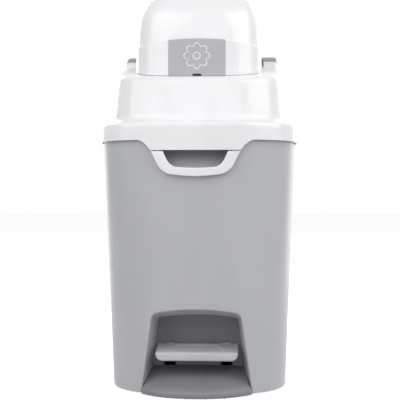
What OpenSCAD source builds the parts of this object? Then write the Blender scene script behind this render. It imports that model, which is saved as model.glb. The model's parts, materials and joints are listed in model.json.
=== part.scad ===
// Pedal nappy bin: a tapered bucket, a hinged top housing with an inlet funnel,
// and a domed hood that a pedal lifts.
// Millimetres. +Z is up, the front faces -Y, and the origin is on the floor
// under the middle of the bounding box.

/* [Bucket] */
// Width of the bucket at its top edge
bucket_top_w = 295; // [287:1:305]
// Depth of the bucket at its top edge
bucket_top_d = 274; // [270:1:282]
// Width of the bucket at its lower edge
bucket_base_w = 266; // [256:1:280]
// Depth of the bucket at its lower edge
bucket_base_d = 236; // [230:1:250]
// Height of the bucket's top edge above the floor
bucket_h = 394; // [384:1:404]
// Wall thickness of the bucket
bucket_wall = 2.6; // [2:0.1:3.2]
// Height of the inner floor over the pedal mechanism
inner_floor_z = 86; // [85:1:96]
// Height of the feet under the bucket
foot_h = 3; // [2.5:0.5:5]

/* [Pedal recess] */
// Half width of the recess mouth at its top
recess_top_hw = 66; // [62:1:70]
// Half width of the recess mouth at the floor
recess_base_hw = 83; // [80:1:88]
// Height of the recess above the floor
recess_h = 127; // [120:1:132]
// Distance of the recess's back wall in front of the pedal shaft
recess_back = 50; // [48:1:54]
// Height of the toe plate's front lip above the floor
lip_h = 20; // [17:1:22]
// Distance of the toe plate's front lip from the pedal shaft
lip_front = 142; // [136:1:146]

/* [Pedal] */
// Width of the pedal plate
pedal_w = 122; // [112:1:124]
// Length of the pedal plate, front to back
pedal_l = 49; // [44:1:50]
// Height of the pedal shaft above the floor
shaft_z = 48; // [46:1:50]
// Diameter of the pedal shaft
shaft_d = 6; // [5:0.5:7]
// Distance of each lever arm from the middle
arm_x = 43; // [40:1:45]
// Travel of the pedal in degrees
pedal_turn = 13; // [11:0.5:13]

/* [Push rods] */
// Diameter of the push rods
rod_d = 5; // [4:0.5:6]
// Depth of the joint between the rods below the bucket's top edge
rod_split_drop = 8; // [6:1:9]

/* [Top housing] */
// Wall thickness of the housing
housing_wall = 2.8; // [2.4:0.1:3.2]
// Clearance between the housing's skirt and the bucket
skirt_gap = 1.2; // [1.1:0.1:1.6]
// Height of the skirt below the bucket's top edge
skirt_h = 20; // [18:1:22]
// Width of the flange between the rim and the housing's waist
flange_w = 20; // [18:1:22]
// Taper of the housing from its waist to its top, on each side
housing_taper = 6; // [4:0.5:8]
// Height of the housing's top under the hood's front edge
housing_front_z = 470; // [464:1:476]
// Rise of the housing's top towards the back, for each millimetre
top_slope = 0.22; // [0.2:0.01:0.24]
// Depth of the apron below the skirt, over the handle
apron_drop = 16; // [15:1:18]
// Opening angle of the whole top in degrees
top_turn = 80; // [60:5:85]

/* [Hood] */
// Distance of the hood's sides inside the housing's crown
hood_side = 29; // [28.5:0.5:32]
// Distance of the hood's front edge behind the housing's crown
hood_set_back = 18; // [17.5:0.5:20]
// Height of the hood's crown above the floor
hood_top_z = 602; // [590:1:615]
// Height of the step between the hood's band and its dome
hood_crease_z = 524; // [522:1:528]
// Wall thickness of the hood
hood_wall = 3; // [2.4:0.1:3.2]
// Width of the badge plate on the hood's front
badge_w = 84; // [70:1:90]
// Opening angle of the hood in degrees
hood_turn = 75; // [70:1:76]
// Distance of the hood's hinge behind the pedal shaft
hinge_y = 90; // [89:0.5:91]
// Diameter of the hood's hinge pin
hood_pin_d = 5; // [4:0.5:6]

/* [Inlet] */
// Inner radius of the inlet throat
throat_r = 52; // [48:1:54]
// Width of the bag collar outside the throat
collar_w = 18; // [17:1:20]
// Distance of the inlet's middle in front of the pedal shaft
inlet_y = 24; // [22:1:26]
// Height of the throat's lower end above the floor
throat_z = 388; // [386:1:392]
// Opening angle of the odour flap in degrees
flap_turn = 75; // [60:5:80]
// Drop angle of the bag ring in degrees
ring_turn = 50; // [40:5:55]

/* [Handle] */
// Half width of the front handle at its top
handle_hw = 65; // [62:0.5:67]
// Height of the front handle
handle_h = 36; // [34:1:40]
// Height of the handle's grip bar
grip_h = 12; // [10:1:14]
// Swing of the front handle in degrees
handle_turn = 25; // [15:5:30]

/* [Hidden] */
$fn = 64;
STEPS = 60;          // points around each lofted outline
EPS = 0.01;
gap = 0.35;          // clearance between parts that meet
run = 0.05;          // radial clearance of a pin in its bore
slide = 0.3;         // radial clearance of a rod in its guide

// ---- outlines and lofts ----
function mix(a, b, t) = a + (b - a) * t;
function signed_pow(v, p) = (v < 0 ? -1 : 1) * pow(abs(v), p);
// Height of the point x along a superellipse arch with half width a, height b and squareness n.
function arch(x, a, b, n) = b * pow(max(0, 1 - pow(min(1, abs(x) / a), n)), 1 / n);
// Superellipse ring at height z that rises by slope towards the back, measured from the line y = front.
function ring(a, b, n, z, y0 = 0, slope = 0, front = 0) =
    [for (i = [0:STEPS - 1])
        let (t = 360 * i / STEPS, y = y0 + b * signed_pow(sin(t), 2 / n))
        [a * signed_pow(cos(t), 2 / n), y, z + slope * (y - front)]];

// Closed skin over a list of rings that have the same count of points.
module loft(rings) {
    count = len(rings[0]);
    last = len(rings) - 1;
    points = [for (r = rings) each r];
    sides = [for (k = [0:last - 1], i = [0:count - 1])
        let (j = (i + 1) % count, lo = k * count, hi = lo + count)
        each [[lo + i, hi + i, lo + j], [lo + j, hi + i, hi + j]]];
    bottom = [[for (i = [0:count - 1]) i]];
    top = [[for (i = [0:count - 1]) last * count + count - 1 - i]];
    polyhedron(points, concat(bottom, sides, top));
}

// Cylinder along X from x0 to x1 at the given Y and Z.
module x_rod(x0, x1, y, z, r) {
    translate([x0, y, z]) rotate([0, 90, 0]) cylinder(h = x1 - x0, r = r);
}

// The same cylinder on both sides of the middle.
module x_rods(x0, x1, y, z, r) {
    x_rod(x0, x1, y, z, r);
    x_rod(-x1, -x0, y, z, r);
}

// Box between two corners.
module span(lo, hi) {
    translate(lo) cube(hi - lo);
}

// Outline in the YZ plane carried along X from x0 to x1.
module x_slab(points, x0, x1) {
    translate([x0, 0, 0]) rotate([90, 0, 90]) linear_extrude(x1 - x0) polygon(points);
}

// Outline in the XZ plane carried along Y from y0 to y1.
module y_slab(points, y0, y1) {
    translate([0, y1, 0]) rotate([90, 0, 0]) linear_extrude(y1 - y0) polygon(points);
}

// Pan-head screw with its head's underside at the origin and its shank along +Z.
module screw(length, d = 3) {
    translate([0, 0, -EPS]) cylinder(h = length + EPS, d = d);
    translate([0, 0, -0.6 * d]) difference() {
        cylinder(h = 0.6 * d, d = 2 * d);
        for (turn = [0, 90]) rotate(turn) translate([-0.6 * d, -0.4, -EPS]) cube([1.2 * d, 0.8, 0.8]);
    }
}

// Coil with its axis along Z: a round wire swept on a helix.
module coil(r, wire, turns, length) {
    sides = 6;
    steps = round(turns * 10);
    rings = [for (k = [0:steps]) let (t = 360 * turns * k / steps, z = length * k / steps)
        [for (i = [0:sides - 1]) let (u = -360 * i / sides, q = r + wire / 2 * cos(u))
            [q * cos(t), q * sin(t), z + wire / 2 * sin(u)]]];
    points = [for (r = rings) each r];
    skin = [for (k = [0:steps - 1], i = [0:sides - 1])
        let (j = (i + 1) % sides, lo = k * sides, hi = lo + sides)
        each [[lo + i, hi + i, lo + j], [lo + j, hi + i, hi + j]]];
    first = [[for (i = [0:sides - 1]) i]];
    end = [[for (i = [0:sides - 1]) steps * sides + sides - 1 - i]];
    polyhedron(points, concat(first, skin, end));
}

// ---- bucket ----
base_square = 2.5;
top_square = 3;
function rise(z) = (z - foot_h) / (bucket_h - foot_h);
function bucket_a(z) = mix(bucket_base_w, bucket_top_w, rise(z)) / 2;
function bucket_b(z) = mix(bucket_base_d, bucket_top_d, rise(z)) / 2;
function bucket_n(z) = mix(base_square, top_square, rise(z));
function bucket_ring(z, grow = 0) = ring(bucket_a(z) + grow, bucket_b(z) + grow, bucket_n(z), z);
// Front face of the bucket at the place x and height z.
function bucket_front(x, z) = -arch(x, bucket_a(z), bucket_b(z), bucket_n(z));

// ---- pedal recess ----
recess_corner = 12;
recess_arch = 5;     // rise of the recess's top edge at the middle
flare_w = 8;         // width of the rounded edge round the mouth
recess_taper = 14;   // narrowing of the recess's lower edge towards its back wall
function recess_outline(top_hw, base_hw, grow) =
    let (lean = atan((base_hw - top_hw) / recess_h), r = recess_corner,
         cx = top_hw - r, cz = recess_h - recess_arch - r, low = -12,
         foot = [base_hw + grow + (base_hw - top_hw) * -low / recess_h, low],
         corner = [cx + (r + grow) * cos(lean), cz + (r + grow) * sin(lean)],
         half = concat(
             [foot, mix(foot, corner, 0.33)],
             [for (k = [0:5]) let (u = mix(lean, 84, k / 5))
                 [cx + (r + grow) * cos(u), cz + (r + grow) * sin(u)]],
             [for (k = [1:4]) let (s = 1 - k / 4)
                 [s * (cx + 1.2), recess_h + grow - recess_arch * s * s]]))
    concat(half, [for (k = [len(half) - 2:-1:0]) [-half[k][0], half[k][1]]]);
function recess_section(y, top_hw, base_hw, grow) =
    [for (p = recess_outline(top_hw, base_hw, grow)) [p[0], y, p[1]]];
// Section of the mouth that lies a given depth behind the bucket's front face.
function mouth_section(depth, grow) =
    [for (p = recess_outline(recess_top_hw, recess_base_hw, grow))
        [p[0], bucket_front(p[0], p[1]) + depth, p[1]]];
function recess_rings(grow, back) = [
    recess_section(-recess_back + back, recess_top_hw - 2, recess_base_hw - recess_taper, grow),
    mouth_section(flare_w + 2, grow),
    mouth_section(0.45 * flare_w, grow + 0.12 * flare_w),
    mouth_section(0.12 * flare_w, grow + 0.45 * flare_w),
    mouth_section(-0.3, grow + flare_w),
    recess_section(-bucket_top_d / 2 - 40, recess_top_hw, recess_base_hw, grow + flare_w)];

// ---- pedal lever ----
rod_y = 77;          // the tail's reach behind the shaft, where it lifts the rods
hub_r = 8;
tail_r = 5;
arm_w = 12;
pedal_back = 8;      // space between the pedal and the recess's back wall
pedal_rear_y = -recess_back - pedal_back;
pedal_front_y = pedal_rear_y - pedal_l;
pedal_rear_z = shaft_z + 22.5;
pedal_front_z = shaft_z + 15.5;
pedal_skin = 2.6;
slot_w = arm_w + 5.6;
slot_top = shaft_z + 30;
slot_low = shaft_z - 13;
rod_lift = rod_y * pedal_turn * PI / 180;

// ---- toe plate and feet ----
plate_t = 3;
rebate = 0.4;        // step in the bucket's lower wall that the base plate seats in
plate_top = foot_h + plate_t;
toe_back_z = shaft_z - 14;
saddle_x = arm_x + 15;
saddle_w = 8;
foot_places = [[88, 62], [-88, 62], [98, -56], [-98, -56]];
boss_places = [[106, 24], [-106, 24], [56, 92], [-56, 92]];
boss_r = 4.5;

// ---- rod channel ----
rod_r = rod_d / 2;
channel_hw = 13;
channel_y = rod_y - 9;
window_hw = 11;
window_low = inner_floor_z + 18;
window_high = bucket_h - 38;
guide_z = bucket_h - 20;
guide_t = 4;
rod_split_z = bucket_h - rod_split_drop;
duct_t = 2.4;
duct_hw = 18;
duct_screw_places = [window_low - 9, window_high + 9];

// ---- rim hinge at the back ----
rim_hinge_z = bucket_h - skirt_h - 1;
rim_hinge_y = bucket_b(rim_hinge_z) + 2.5;
rim_hinge_r = 3.5;
rim_pin_d = 3;
bucket_knuckles = [[32, 42], [58, 66]];
housing_knuckle = [42.4, 57.6];

// ---- top housing ----
rim_a = bucket_top_w / 2 + skirt_gap + housing_wall;
rim_b = bucket_top_d / 2 + skirt_gap + housing_wall;
skirt_z = bucket_h - skirt_h;
seam_z = skirt_z - apron_drop;
waist_a = rim_a - flange_w;
waist_b = rim_b - flange_w;
crown_a = waist_a - housing_taper;
crown_b = waist_b - housing_taper;
housing_square = 3.4;
hood_w = 2 * (crown_a - hood_side);
hood_front_y = hood_set_back - crown_b;
hood_rear_y = hinge_y - 8;
hood_l = hood_rear_y - hood_front_y;
function top_z(y) = housing_front_z + top_slope * (y - hood_front_y);
// Ring of the housing at a drop below its sloping top, drawn in by inset.
function crown_ring(drop, inset, grow) =
    ring(crown_a - inset + grow, crown_b - inset + grow, housing_square,
         housing_front_z - drop, 0, top_slope, hood_front_y);
function rim_ring(z, inset, grow, n = top_square) = ring(rim_a - inset + grow, rim_b - inset + grow, n, z);
// The housing's skin. A negative grow gives the inner face, moved down by the same thickness on top.
function housing_rings(grow, low) = [
    rim_ring(low, 0, grow),
    rim_ring(bucket_h + 1.5, 0, grow),
    rim_ring(bucket_h + 4.5 + grow / 2, 1.2, grow),
    rim_ring(bucket_h + 6 + grow, 4, grow),
    rim_ring(bucket_h + 8 + grow, 0.5 * flange_w, grow, 3.1),
    rim_ring(bucket_h + 11 + grow, 0.8 * flange_w, grow, 3.2),
    rim_ring(bucket_h + 17 + grow, 0.98 * flange_w, grow, 3.3),
    ring(waist_a - 1 + grow, waist_b - 1 + grow, housing_square, bucket_h + 26 + grow),
    crown_ring(14 - grow, 0, grow),
    crown_ring(7 - grow, 1.3, grow),
    crown_ring(2.8 - grow, 4.4, grow),
    crown_ring(0.7 - grow, 8.8, grow),
    crown_ring(-grow, 13, grow)];

// ---- hood ----
hinge_z = top_z(hinge_y);
hood_y0 = hood_front_y + hood_l / 2;
hood_mid_z = 500;    // height at which the dome begins to close
band_step = 1.2;
function hood_ring(f, grow) =
    let (h = hood_top_z - hood_mid_z + grow + band_step)
    ring(hood_w / 2 * pow(1 - pow(f, 4.5), 1 / 4.5) + grow, hood_l / 2 * pow(1 - pow(f, 3), 1 / 3) + grow,
         mix(3.5, 2.7, f), hood_mid_z + h * f, hood_y0);
function hood_edge(grow, drop = 0) =
    ring(hood_w / 2 + grow, hood_l / 2 + grow, 3.5, housing_front_z + gap - drop, hood_y0,
         top_slope, hood_front_y);
function hood_band(z, grow) = ring(hood_w / 2 + grow, hood_l / 2 + grow, 3.5, z, hood_y0);
crease_f = (hood_crease_z - hood_mid_z) / (hood_top_z - hood_mid_z);
dome_levels = [0.4, 0.56, 0.69, 0.79, 0.865, 0.92, 0.96, 0.985, 0.998];
function hood_outer() = concat(
    [hood_edge(0), hood_band(hood_crease_z - 1.5, 0), hood_band(hood_crease_z, -band_step)],
    [for (f = dome_levels) hood_ring(f, -band_step)]);
function hood_inner() = concat(
    [hood_edge(-hood_wall, 1), hood_band(hood_crease_z - 1.5, -hood_wall),
     hood_band(hood_crease_z, -hood_wall)],
    [for (f = dome_levels) hood_ring(f, -band_step - hood_wall)]);
badge_t = 2;
badge_proud = 0.8;

// ---- hood hinge and crank ----
barrel_r = 6;
barrel_hw = crown_a - 42;
crank_hw = 6;
tower_r = 10;
tower_x = barrel_hw + 0.5;
notch_x = barrel_hw + 16.5;
notch_y = hood_rear_y - 2.5;
notch_z = hinge_z - 14;
well_hw = 12;
well_y = rod_y - 9;
crank_r = rod_lift / (2 * sin(hood_turn / 2));
crank_nose_r = 3;
crank_nose_y = hinge_y - crank_r * cos(hood_turn / 2);
crank_nose_z = hinge_z - crank_r * sin(hood_turn / 2);
head_top = crank_nose_z - crank_nose_r - 0.6;
head_r = 6;
head_pad_r = 2.4;    // radius of the head's top, where the crank's nose rests
head_cone = 3.2;     // height of the taper below it, which clears the crank's web
shelf_t = 3.5;
bridge_t = 3;
bridge_top = notch_z + bridge_t;
bridge_screw_x = notch_x - 8;
rear_screw_x = notch_x / 2;
rear_screw_y = crown_b - 11;
bridge_screw_places = [[bridge_screw_x, hinge_y], [-bridge_screw_x, hinge_y],
                       [rear_screw_x, rear_screw_y], [-rear_screw_x, rear_screw_y]];

// ---- inlet ----
funnel_wall = 2.4;
funnel_y0 = hood_y0 - 8.5;
funnel_a = hood_w / 2 - 20.5;
funnel_b = hood_l / 2 - 20.5;
funnel_top_t = 2.4;
throat_top_z = throat_z + 50;
collar_z = throat_z + 16;
collar_t = 3;
collar_r = throat_r + collar_w;
lip_t = 2.2;
collar_low = throat_z - 10;
collar_screw_r = throat_r + 6.6;
function funnel_ring(drop, grow) =
    ring(funnel_a + grow, funnel_b + grow, 3.2, housing_front_z - drop, funnel_y0, top_slope, hood_front_y);
function round_ring(r, z) = ring(r, r, 2, z, -inlet_y);
flap_pin_d = 3;
flap_hinge_y = -inlet_y + throat_r + 8;
flap_hinge_z = throat_z - 2;
flap_r = throat_r + 2;
flap_t = 3;
seal_t = 0.7;
flap_top = throat_z - gap - seal_t;
ring_hinge_y = -inlet_y + collar_r + 10;
ring_in = collar_r + 0.6;
ring_w = 6;
ring_t = 6;
ring_hinge_z = collar_low + ring_t / 2;
ring_reach = inlet_y + ring_in + ring_w + 5;
ring_clear = 3;      // room between the bag ring's grip and the finger pocket

// ---- front handle ----
handle_t = 4.5;
handle_low = seam_z - handle_h;
handle_pin_z = seam_z - 4.6;
handle_pin_d = 3;
handle_eye_r = 4;
leg_in = handle_hw - 18;
neck = [handle_hw - 12, handle_hw - 6];
handle_pin_y = -arch((neck[0] + neck[1]) / 2, rim_a, rim_b, top_square) + 4.6;
pocket_depth = bucket_b(seam_z) - ring_reach - ring_clear - bucket_wall;
pocket_hw = handle_hw - 3;

// Mirror copy of a part on the other side of the middle.
module both_sides() {
    children();
    mirror([1, 0, 0]) children();
}

// Outline that narrows downwards with rounded lower corners, in the XZ plane.
function bowl(top_hw, low_hw, top, low, r) =
    let (lean = atan((top_hw - low_hw) / (top - low)),
         cx = low_hw + r * tan(lean) - r / cos(lean),
         half = concat([[top_hw, top]],
             [for (k = [0:5]) let (u = mix(-lean, -90, k / 5)) [cx + r * cos(u), low + r + r * sin(u)]]))
    concat(half, [for (k = [len(half) - 1:-1:0]) [-half[k][0], half[k][1]]]);

// ---- bucket body ----
module bucket_cavity() {
    loft([bucket_ring(inner_floor_z, -bucket_wall), bucket_ring(bucket_h + 1, -bucket_wall)]);
    loft([bucket_ring(foot_h - 1, -bucket_wall), bucket_ring(inner_floor_z - bucket_wall, -bucket_wall)]);
}

// Finger pocket behind the handle, open at the top so that the housing's necks lift out of it.
module pocket(grow) {
    front = -bucket_b(seam_z);
    low = handle_low + 8;
    knee = seam_z - 9;
    intersection() {
        union() {
            y_slab(bowl(pocket_hw - 1.8 + grow, pocket_hw * 0.66 + grow, knee, low - grow, 8), -170, -60);
            span([-pocket_hw + 1.8 - grow, -170, knee - EPS], [pocket_hw - 1.8 + grow, -60, bucket_h + 2]);
        }
        x_slab([[front - 20, low - grow], [front + 7 + grow, low - grow],
                [front + pocket_depth + grow, knee + 2], [front + pocket_depth + grow, bucket_h + 2],
                [front - 20, bucket_h + 2]], -handle_hw - 9, handle_hw + 9);
    }
}

module channel_walls() {
    outer = channel_hw + bucket_wall;
    difference() {
        span([-outer, channel_y - bucket_wall, inner_floor_z - EPS], [outer, rim_b + 5, bucket_h + 2]);
        span([-channel_hw, channel_y, inner_floor_z - 1], [channel_hw, rim_b + 6, bucket_h + 3]);
    }
    for (z = [inner_floor_z - EPS, guide_z])
        span([-channel_hw - 1, channel_y - 1, z], [channel_hw + 1, rim_b + 5, z + guide_t]);
    for (z = duct_screw_places)
        translate([0, bucket_b(z) + 1, z]) rotate([90, 0, 0]) cylinder(h = 12, r = 4);
}

module bucket() color([0.71, 0.714, 0.73]) {
    difference() {
        loft([bucket_ring(foot_h, -1), bucket_ring(foot_h + 2), bucket_ring(bucket_h)]);
        difference() {
            bucket_cavity();
            loft(recess_rings(bucket_wall, bucket_wall));
            pocket(bucket_wall);
            channel_walls();
            for (p = boss_places)
                translate([p[0], p[1], foot_h]) cylinder(h = inner_floor_z - foot_h, r = boss_r);
        }
        loft(recess_rings(0, 0));
        pocket(0);
        loft([for (z = [foot_h - 1, plate_top + gap]) bucket_ring(z, rebate - bucket_wall)]);
        both_sides() lever_slot();
        translate([0, rod_y, inner_floor_z - 5]) cylinder(h = bucket_h, r = rod_r + slide);
        span([-window_hw, bucket_b(inner_floor_z) - 12, window_low], [window_hw, rim_b + 5, window_high]);
        for (z = duct_screw_places)
            translate([0, bucket_b(z) + 5, z]) rotate([90, 0, 0]) cylinder(h = 14, r = 1.5);
        for (p = boss_places)
            translate([p[0], p[1], foot_h]) cylinder(h = 16, r = base_screw_d / 2);
        x_rods(housing_knuckle[0] - 0.4, housing_knuckle[1] + 0.4, rim_hinge_y, rim_hinge_z, rim_hinge_r + 0.4);
    }
    difference() {
        for (k = bucket_knuckles) both_sides() bucket_knuckle(k);
        x_rods(25, 75, rim_hinge_y, rim_hinge_z, rim_pin_d / 2 + run);
    }
}

// Arched slot for a lever arm in the recess's back wall.
module lever_slot() {
    y_slab(concat([[arm_x - slot_w / 2, slot_low], [arm_x + slot_w / 2, slot_low]],
                  [for (u = [0:15:180]) [arm_x + slot_w / 2 * cos(u), slot_top - slot_w / 2 * (1 - sin(u))]]),
           -recess_back - 6, -recess_back + 6);
}

// Knuckle of the rim hinge, with a gusset down the bucket's back wall.
module bucket_knuckle(k) {
    wall_y = -0.6 + arch(k[1], bucket_a(rim_hinge_z), bucket_b(rim_hinge_z), top_square);
    x_rod(k[0], k[1], rim_hinge_y, rim_hinge_z, rim_hinge_r);
    x_slab([[wall_y - 1, rim_hinge_z + rim_hinge_r - 0.5], [rim_hinge_y, rim_hinge_z + rim_hinge_r],
            [rim_hinge_y + rim_hinge_r, rim_hinge_z], [wall_y - 0.3, rim_hinge_z - 13]], k[0], k[1]);
}

base_screw_d = 3.5;
saddle_screw_y = 6;

// ---- base ----
toe_bulge = lip_front - bucket_base_d / 2;
toe_clear = 1.4;     // room at the toe plate's sides for the recess's lean
toe_hw = recess_base_hw - toe_clear;
toe_back_hw = recess_base_hw - recess_taper - toe_clear - gap;
toe_back_y = -recess_back - gap;
function toe_front(x) =
    bucket_front(x, foot_h) - toe_bulge * pow(max(0, 1 - pow(x / toe_hw, 2)), 0.8);
function toe_outline(inset) = concat(
    [for (k = [0:24]) let (x = (toe_hw - 0.5 * inset) * sin(mix(-90, 90, k / 24))) [x, toe_front(x) + inset]],
    [[toe_back_hw - inset / 2, toe_back_y], [-toe_back_hw + inset / 2, toe_back_y]]);
function toe_ring(z, inset) = [for (p = toe_outline(inset)) [p[0], p[1], z]];
lip_profile = [[1.2, 7], [3.5, 2.6], [8, 0.3], [12, 0.2], [16, 2.2], [18.8, 6], [lip_h, 11]];
module toe_solid(shrink) {
    loft([for (p = lip_profile) toe_ring(min(p[0], lip_h) - (shrink > 0 ? 1.6 * shrink : 0), p[1] + shrink)]);
    intersection() {
        x_slab([[-lip_front + 11 + shrink, lip_h - shrink - EPS], [toe_back_y + 1, toe_back_z - shrink],
                [toe_back_y + 1, 5], [-lip_front + 11 + shrink, 5]], -toe_hw, toe_hw);
        linear_extrude(80) polygon(toe_outline(11 + shrink));
    }
}

module base_plate() color([0.58, 0.585, 0.6]) {
    difference() {
        union() {
            loft([bucket_ring(foot_h, -bucket_wall - gap), bucket_ring(plate_top, -bucket_wall - gap)]);
            toe_solid(0);
        }
        difference() {
            toe_solid(2.6);
            span([-150, toe_back_y - 3, -5], [150, 0, 60]);
            for (x = [-42, -14, 14, 42]) span([x - 1, -150, -5], [x + 1, 0, 60]);
        }
        for (p = boss_places) translate([p[0], p[1], 0]) cylinder(h = 12, r = base_screw_d / 2 + 0.1);
        for (x = [-saddle_x, saddle_x], y = [-saddle_screw_y, saddle_screw_y])
            translate([x, y, 0]) cylinder(h = 12, r = base_screw_d / 2 + 0.1);
    }
}

module rubber_feet() color([0.16, 0.16, 0.17]) {
    for (p = foot_places) translate([p[0], p[1], 0]) {
        cylinder(h = foot_h / 2 + EPS, r1 = 8, r2 = 9);
        translate([0, 0, foot_h / 2]) cylinder(h = foot_h / 2, r = 9);
    }
}

module base_screws() color([0.75, 0.76, 0.78]) {
    for (p = boss_places) translate([p[0], p[1], foot_h]) screw(13, base_screw_d);
    for (x = [-saddle_x, saddle_x], y = [-saddle_screw_y, saddle_screw_y])
        translate([x, y, foot_h]) screw(13, base_screw_d);
}

module shaft_saddles() color([0.3, 0.31, 0.33]) both_sides() {
    difference() {
        union() {
            x_slab([[-13, plate_top], [13, plate_top], [13, plate_top + 5], [7.5, shaft_z], [-7.5, shaft_z],
                    [-13, plate_top + 5]], saddle_x - saddle_w / 2, saddle_x + saddle_w / 2);
            x_rod(saddle_x - saddle_w / 2, saddle_x + saddle_w / 2, 0, shaft_z, 7.5);
        }
        x_rod(0, saddle_x + 20, 0, shaft_z, shaft_d / 2 + run);
        for (y = [-saddle_screw_y, saddle_screw_y])
            translate([saddle_x, y, 0]) cylinder(h = foot_h + 13.5, r = base_screw_d / 2);
    }
}

module pedal_shaft() color([0.78, 0.79, 0.8])
    x_rod(-saddle_x - saddle_w / 2 - 2, saddle_x + saddle_w / 2 + 2, 0, shaft_z, shaft_d / 2);

module pedal_spring() color([0.72, 0.73, 0.75])
    translate([14, 0, shaft_z]) rotate([0, 90, 0]) coil(hub_r + 1.8, 2, 6, 15);

module duct_cover() color([0.69, 0.694, 0.71]) {
    low = window_low - 16;
    high = window_high + 14;
    face = 0.05;
    difference() {
        x_slab([[bucket_b(low) + face, low], [bucket_b(low) + duct_t, low + 1.5],
                [bucket_b(high) + duct_t, high - 1.5], [bucket_b(high) + face, high]], -duct_hw, duct_hw);
        for (z = duct_screw_places)
            translate([0, bucket_b(z) + 10, z]) rotate([90, 0, 0]) cylinder(h = 20, r = 1.6);
    }
}

module duct_screws() color([0.75, 0.76, 0.78])
    for (z = duct_screw_places) translate([0, bucket_b(z) + duct_t + 0.25, z]) rotate([90, 0, 0]) screw(9);

module rim_hinge_pins() color([0.78, 0.79, 0.8])
    x_rods(bucket_knuckles[0][0] + 1, bucket_knuckles[1][1] - 1, rim_hinge_y, rim_hinge_z, rim_pin_d / 2);

// ---- pedal ----
// Point beside the shaft, given as reach behind it and height over it.
function by_shaft(points) = [for (p = points) [p[0], shaft_z + p[1]]];
pedal_rear_h = pedal_rear_z - shaft_z;
pedal_front_h = pedal_front_z - shaft_z;

module pedal_plate() color([0.66, 0.664, 0.68]) {
    r = 8;
    hw = pedal_w / 2;
    low = shaft_z + 2;
    difference() {
        intersection() {
            x_slab(by_shaft([[pedal_rear_y, pedal_rear_h], [pedal_front_y + 3.5, pedal_front_h + 0.5],
                             [pedal_front_y + 1.2, pedal_front_h - 0.6], [pedal_front_y, pedal_front_h - 3],
                             [pedal_front_y + 1, 4], [pedal_rear_y, 11]]), -hw, hw);
            y_slab(concat([[hw, low + 40]],
                          [for (u = [0:-15:-90]) [hw - r + r * cos(u), low + 2 + r + r * sin(u)]],
                          [for (u = [-90:-15:-180]) [-hw + r + r * cos(u), low + 2 + r + r * sin(u)]],
                          [[-hw, low + 40]]), pedal_front_y - 5, pedal_rear_y + 5);
        }
        x_slab(by_shaft([[pedal_rear_y - pedal_skin, pedal_rear_h - 3], [pedal_front_y + 4, pedal_front_h - 2.2],
                         [pedal_front_y + 2.8, pedal_front_h - 4], [pedal_front_y + 3.4, -10],
                         [pedal_rear_y - pedal_skin, -10]]), -hw + pedal_skin, hw - pedal_skin);
        both_sides() span([arm_x - arm_w / 2 - 0.3, pedal_rear_y - 4, shaft_z - 10],
                          [arm_x + arm_w / 2 + 0.3, pedal_rear_y + 1, pedal_rear_z - pedal_skin]);
        pedal_dish();
    }
}

// Shallow trapezoid pressed into the pedal's top.
module pedal_dish() {
    slope = atan((pedal_rear_z - pedal_front_z) / pedal_l);
    translate([0, pedal_rear_y, pedal_rear_z - 0.8]) rotate([slope, 0, 0])
        linear_extrude(3) polygon([[-31, -8], [31, -8], [39, -38], [-39, -38]]);
}

module pedal_lever() color([0.62, 0.624, 0.64]) {
    under = pedal_rear_h - pedal_skin - 0.6;
    arm_front = pedal_front_y + 7;
    under_front = under - (pedal_rear_h - pedal_front_h) * (pedal_rear_y - arm_front) / pedal_l;
    arm = by_shaft([[0, hub_r], [-30, 17], [-recess_back + 6, 26], [-recess_back + 2, 27.6],
                    [pedal_rear_y + 4, 27.6], [pedal_rear_y + 0.8, 25.5], [pedal_rear_y + 0.4, under],
                    [arm_front, under_front], [arm_front, 7], [pedal_rear_y, 7], [-36, 4], [0, -hub_r]]);
    difference() {
        union() {
            both_sides() x_slab(arm, arm_x - arm_w / 2, arm_x + arm_w / 2);
            x_rod(-arm_x - arm_w / 2 - 1, arm_x + arm_w / 2 + 1, 0, shaft_z, hub_r);
            for (x = [-7, 4])
                x_slab(by_shaft([[0, hub_r], [rod_y, tail_r], [rod_y, -tail_r], [0, -hub_r]]), x, x + 3);
            x_slab(by_shaft([[0, 1.5], [rod_y, 1.5], [rod_y, -1.5], [0, -1.5]]), -6, 6);
            x_rod(-7, 7, rod_y, shaft_z, tail_r);
        }
        x_rod(-60, 60, 0, shaft_z, shaft_d / 2 + 0.4);
        x_rods(arm_x - 2, 60, 0, shaft_z, shaft_d / 2 + 2);
    }
}

module shaft_bushes() color([0.9, 0.9, 0.88]) both_sides() {
    hub_end = arm_x + arm_w / 2 + 1;
    difference() {
        union() {
            x_rod(arm_x - 2, hub_end + 1, 0, shaft_z, shaft_d / 2 + 2);
            x_rod(hub_end, saddle_x - saddle_w / 2 - gap, 0, shaft_z, hub_r - 0.5);
        }
        x_rod(arm_x - 5, 70, 0, shaft_z, shaft_d / 2 + run);
    }
}

// ---- push rods ----
foot_low = shaft_z + tail_r + gap;
foot_high = foot_low + 8;

module lower_rod() color([0.78, 0.79, 0.8])
    translate([0, rod_y, foot_low + 2]) cylinder(h = rod_split_z - 1 - foot_low - 2, r = rod_r);

module rod_foot() color([0.3, 0.31, 0.33]) translate([0, rod_y, foot_low]) difference() {
    union() {
        cylinder(h = 3, r = 7);
        cylinder(h = 8, r = 5);
    }
    translate([0, 0, 2]) cylinder(h = 10, r = rod_r);
}

module rod_cap() color([0.3, 0.31, 0.33]) translate([0, rod_y, rod_split_z - 5]) difference() {
    cylinder(h = 5, r = 5);
    translate([0, 0, -1]) cylinder(h = 5, r = rod_r);
}

guide_cup_low = notch_z - 23;
cup_floor = 4;
bracket_z = bucket_h + 12;
bracket_t = 3;

module upper_rod() color([0.78, 0.79, 0.8])
    translate([0, rod_y, rod_split_z + gap]) cylinder(h = head_top - 5 - rod_split_z - gap, r = rod_r);

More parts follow.
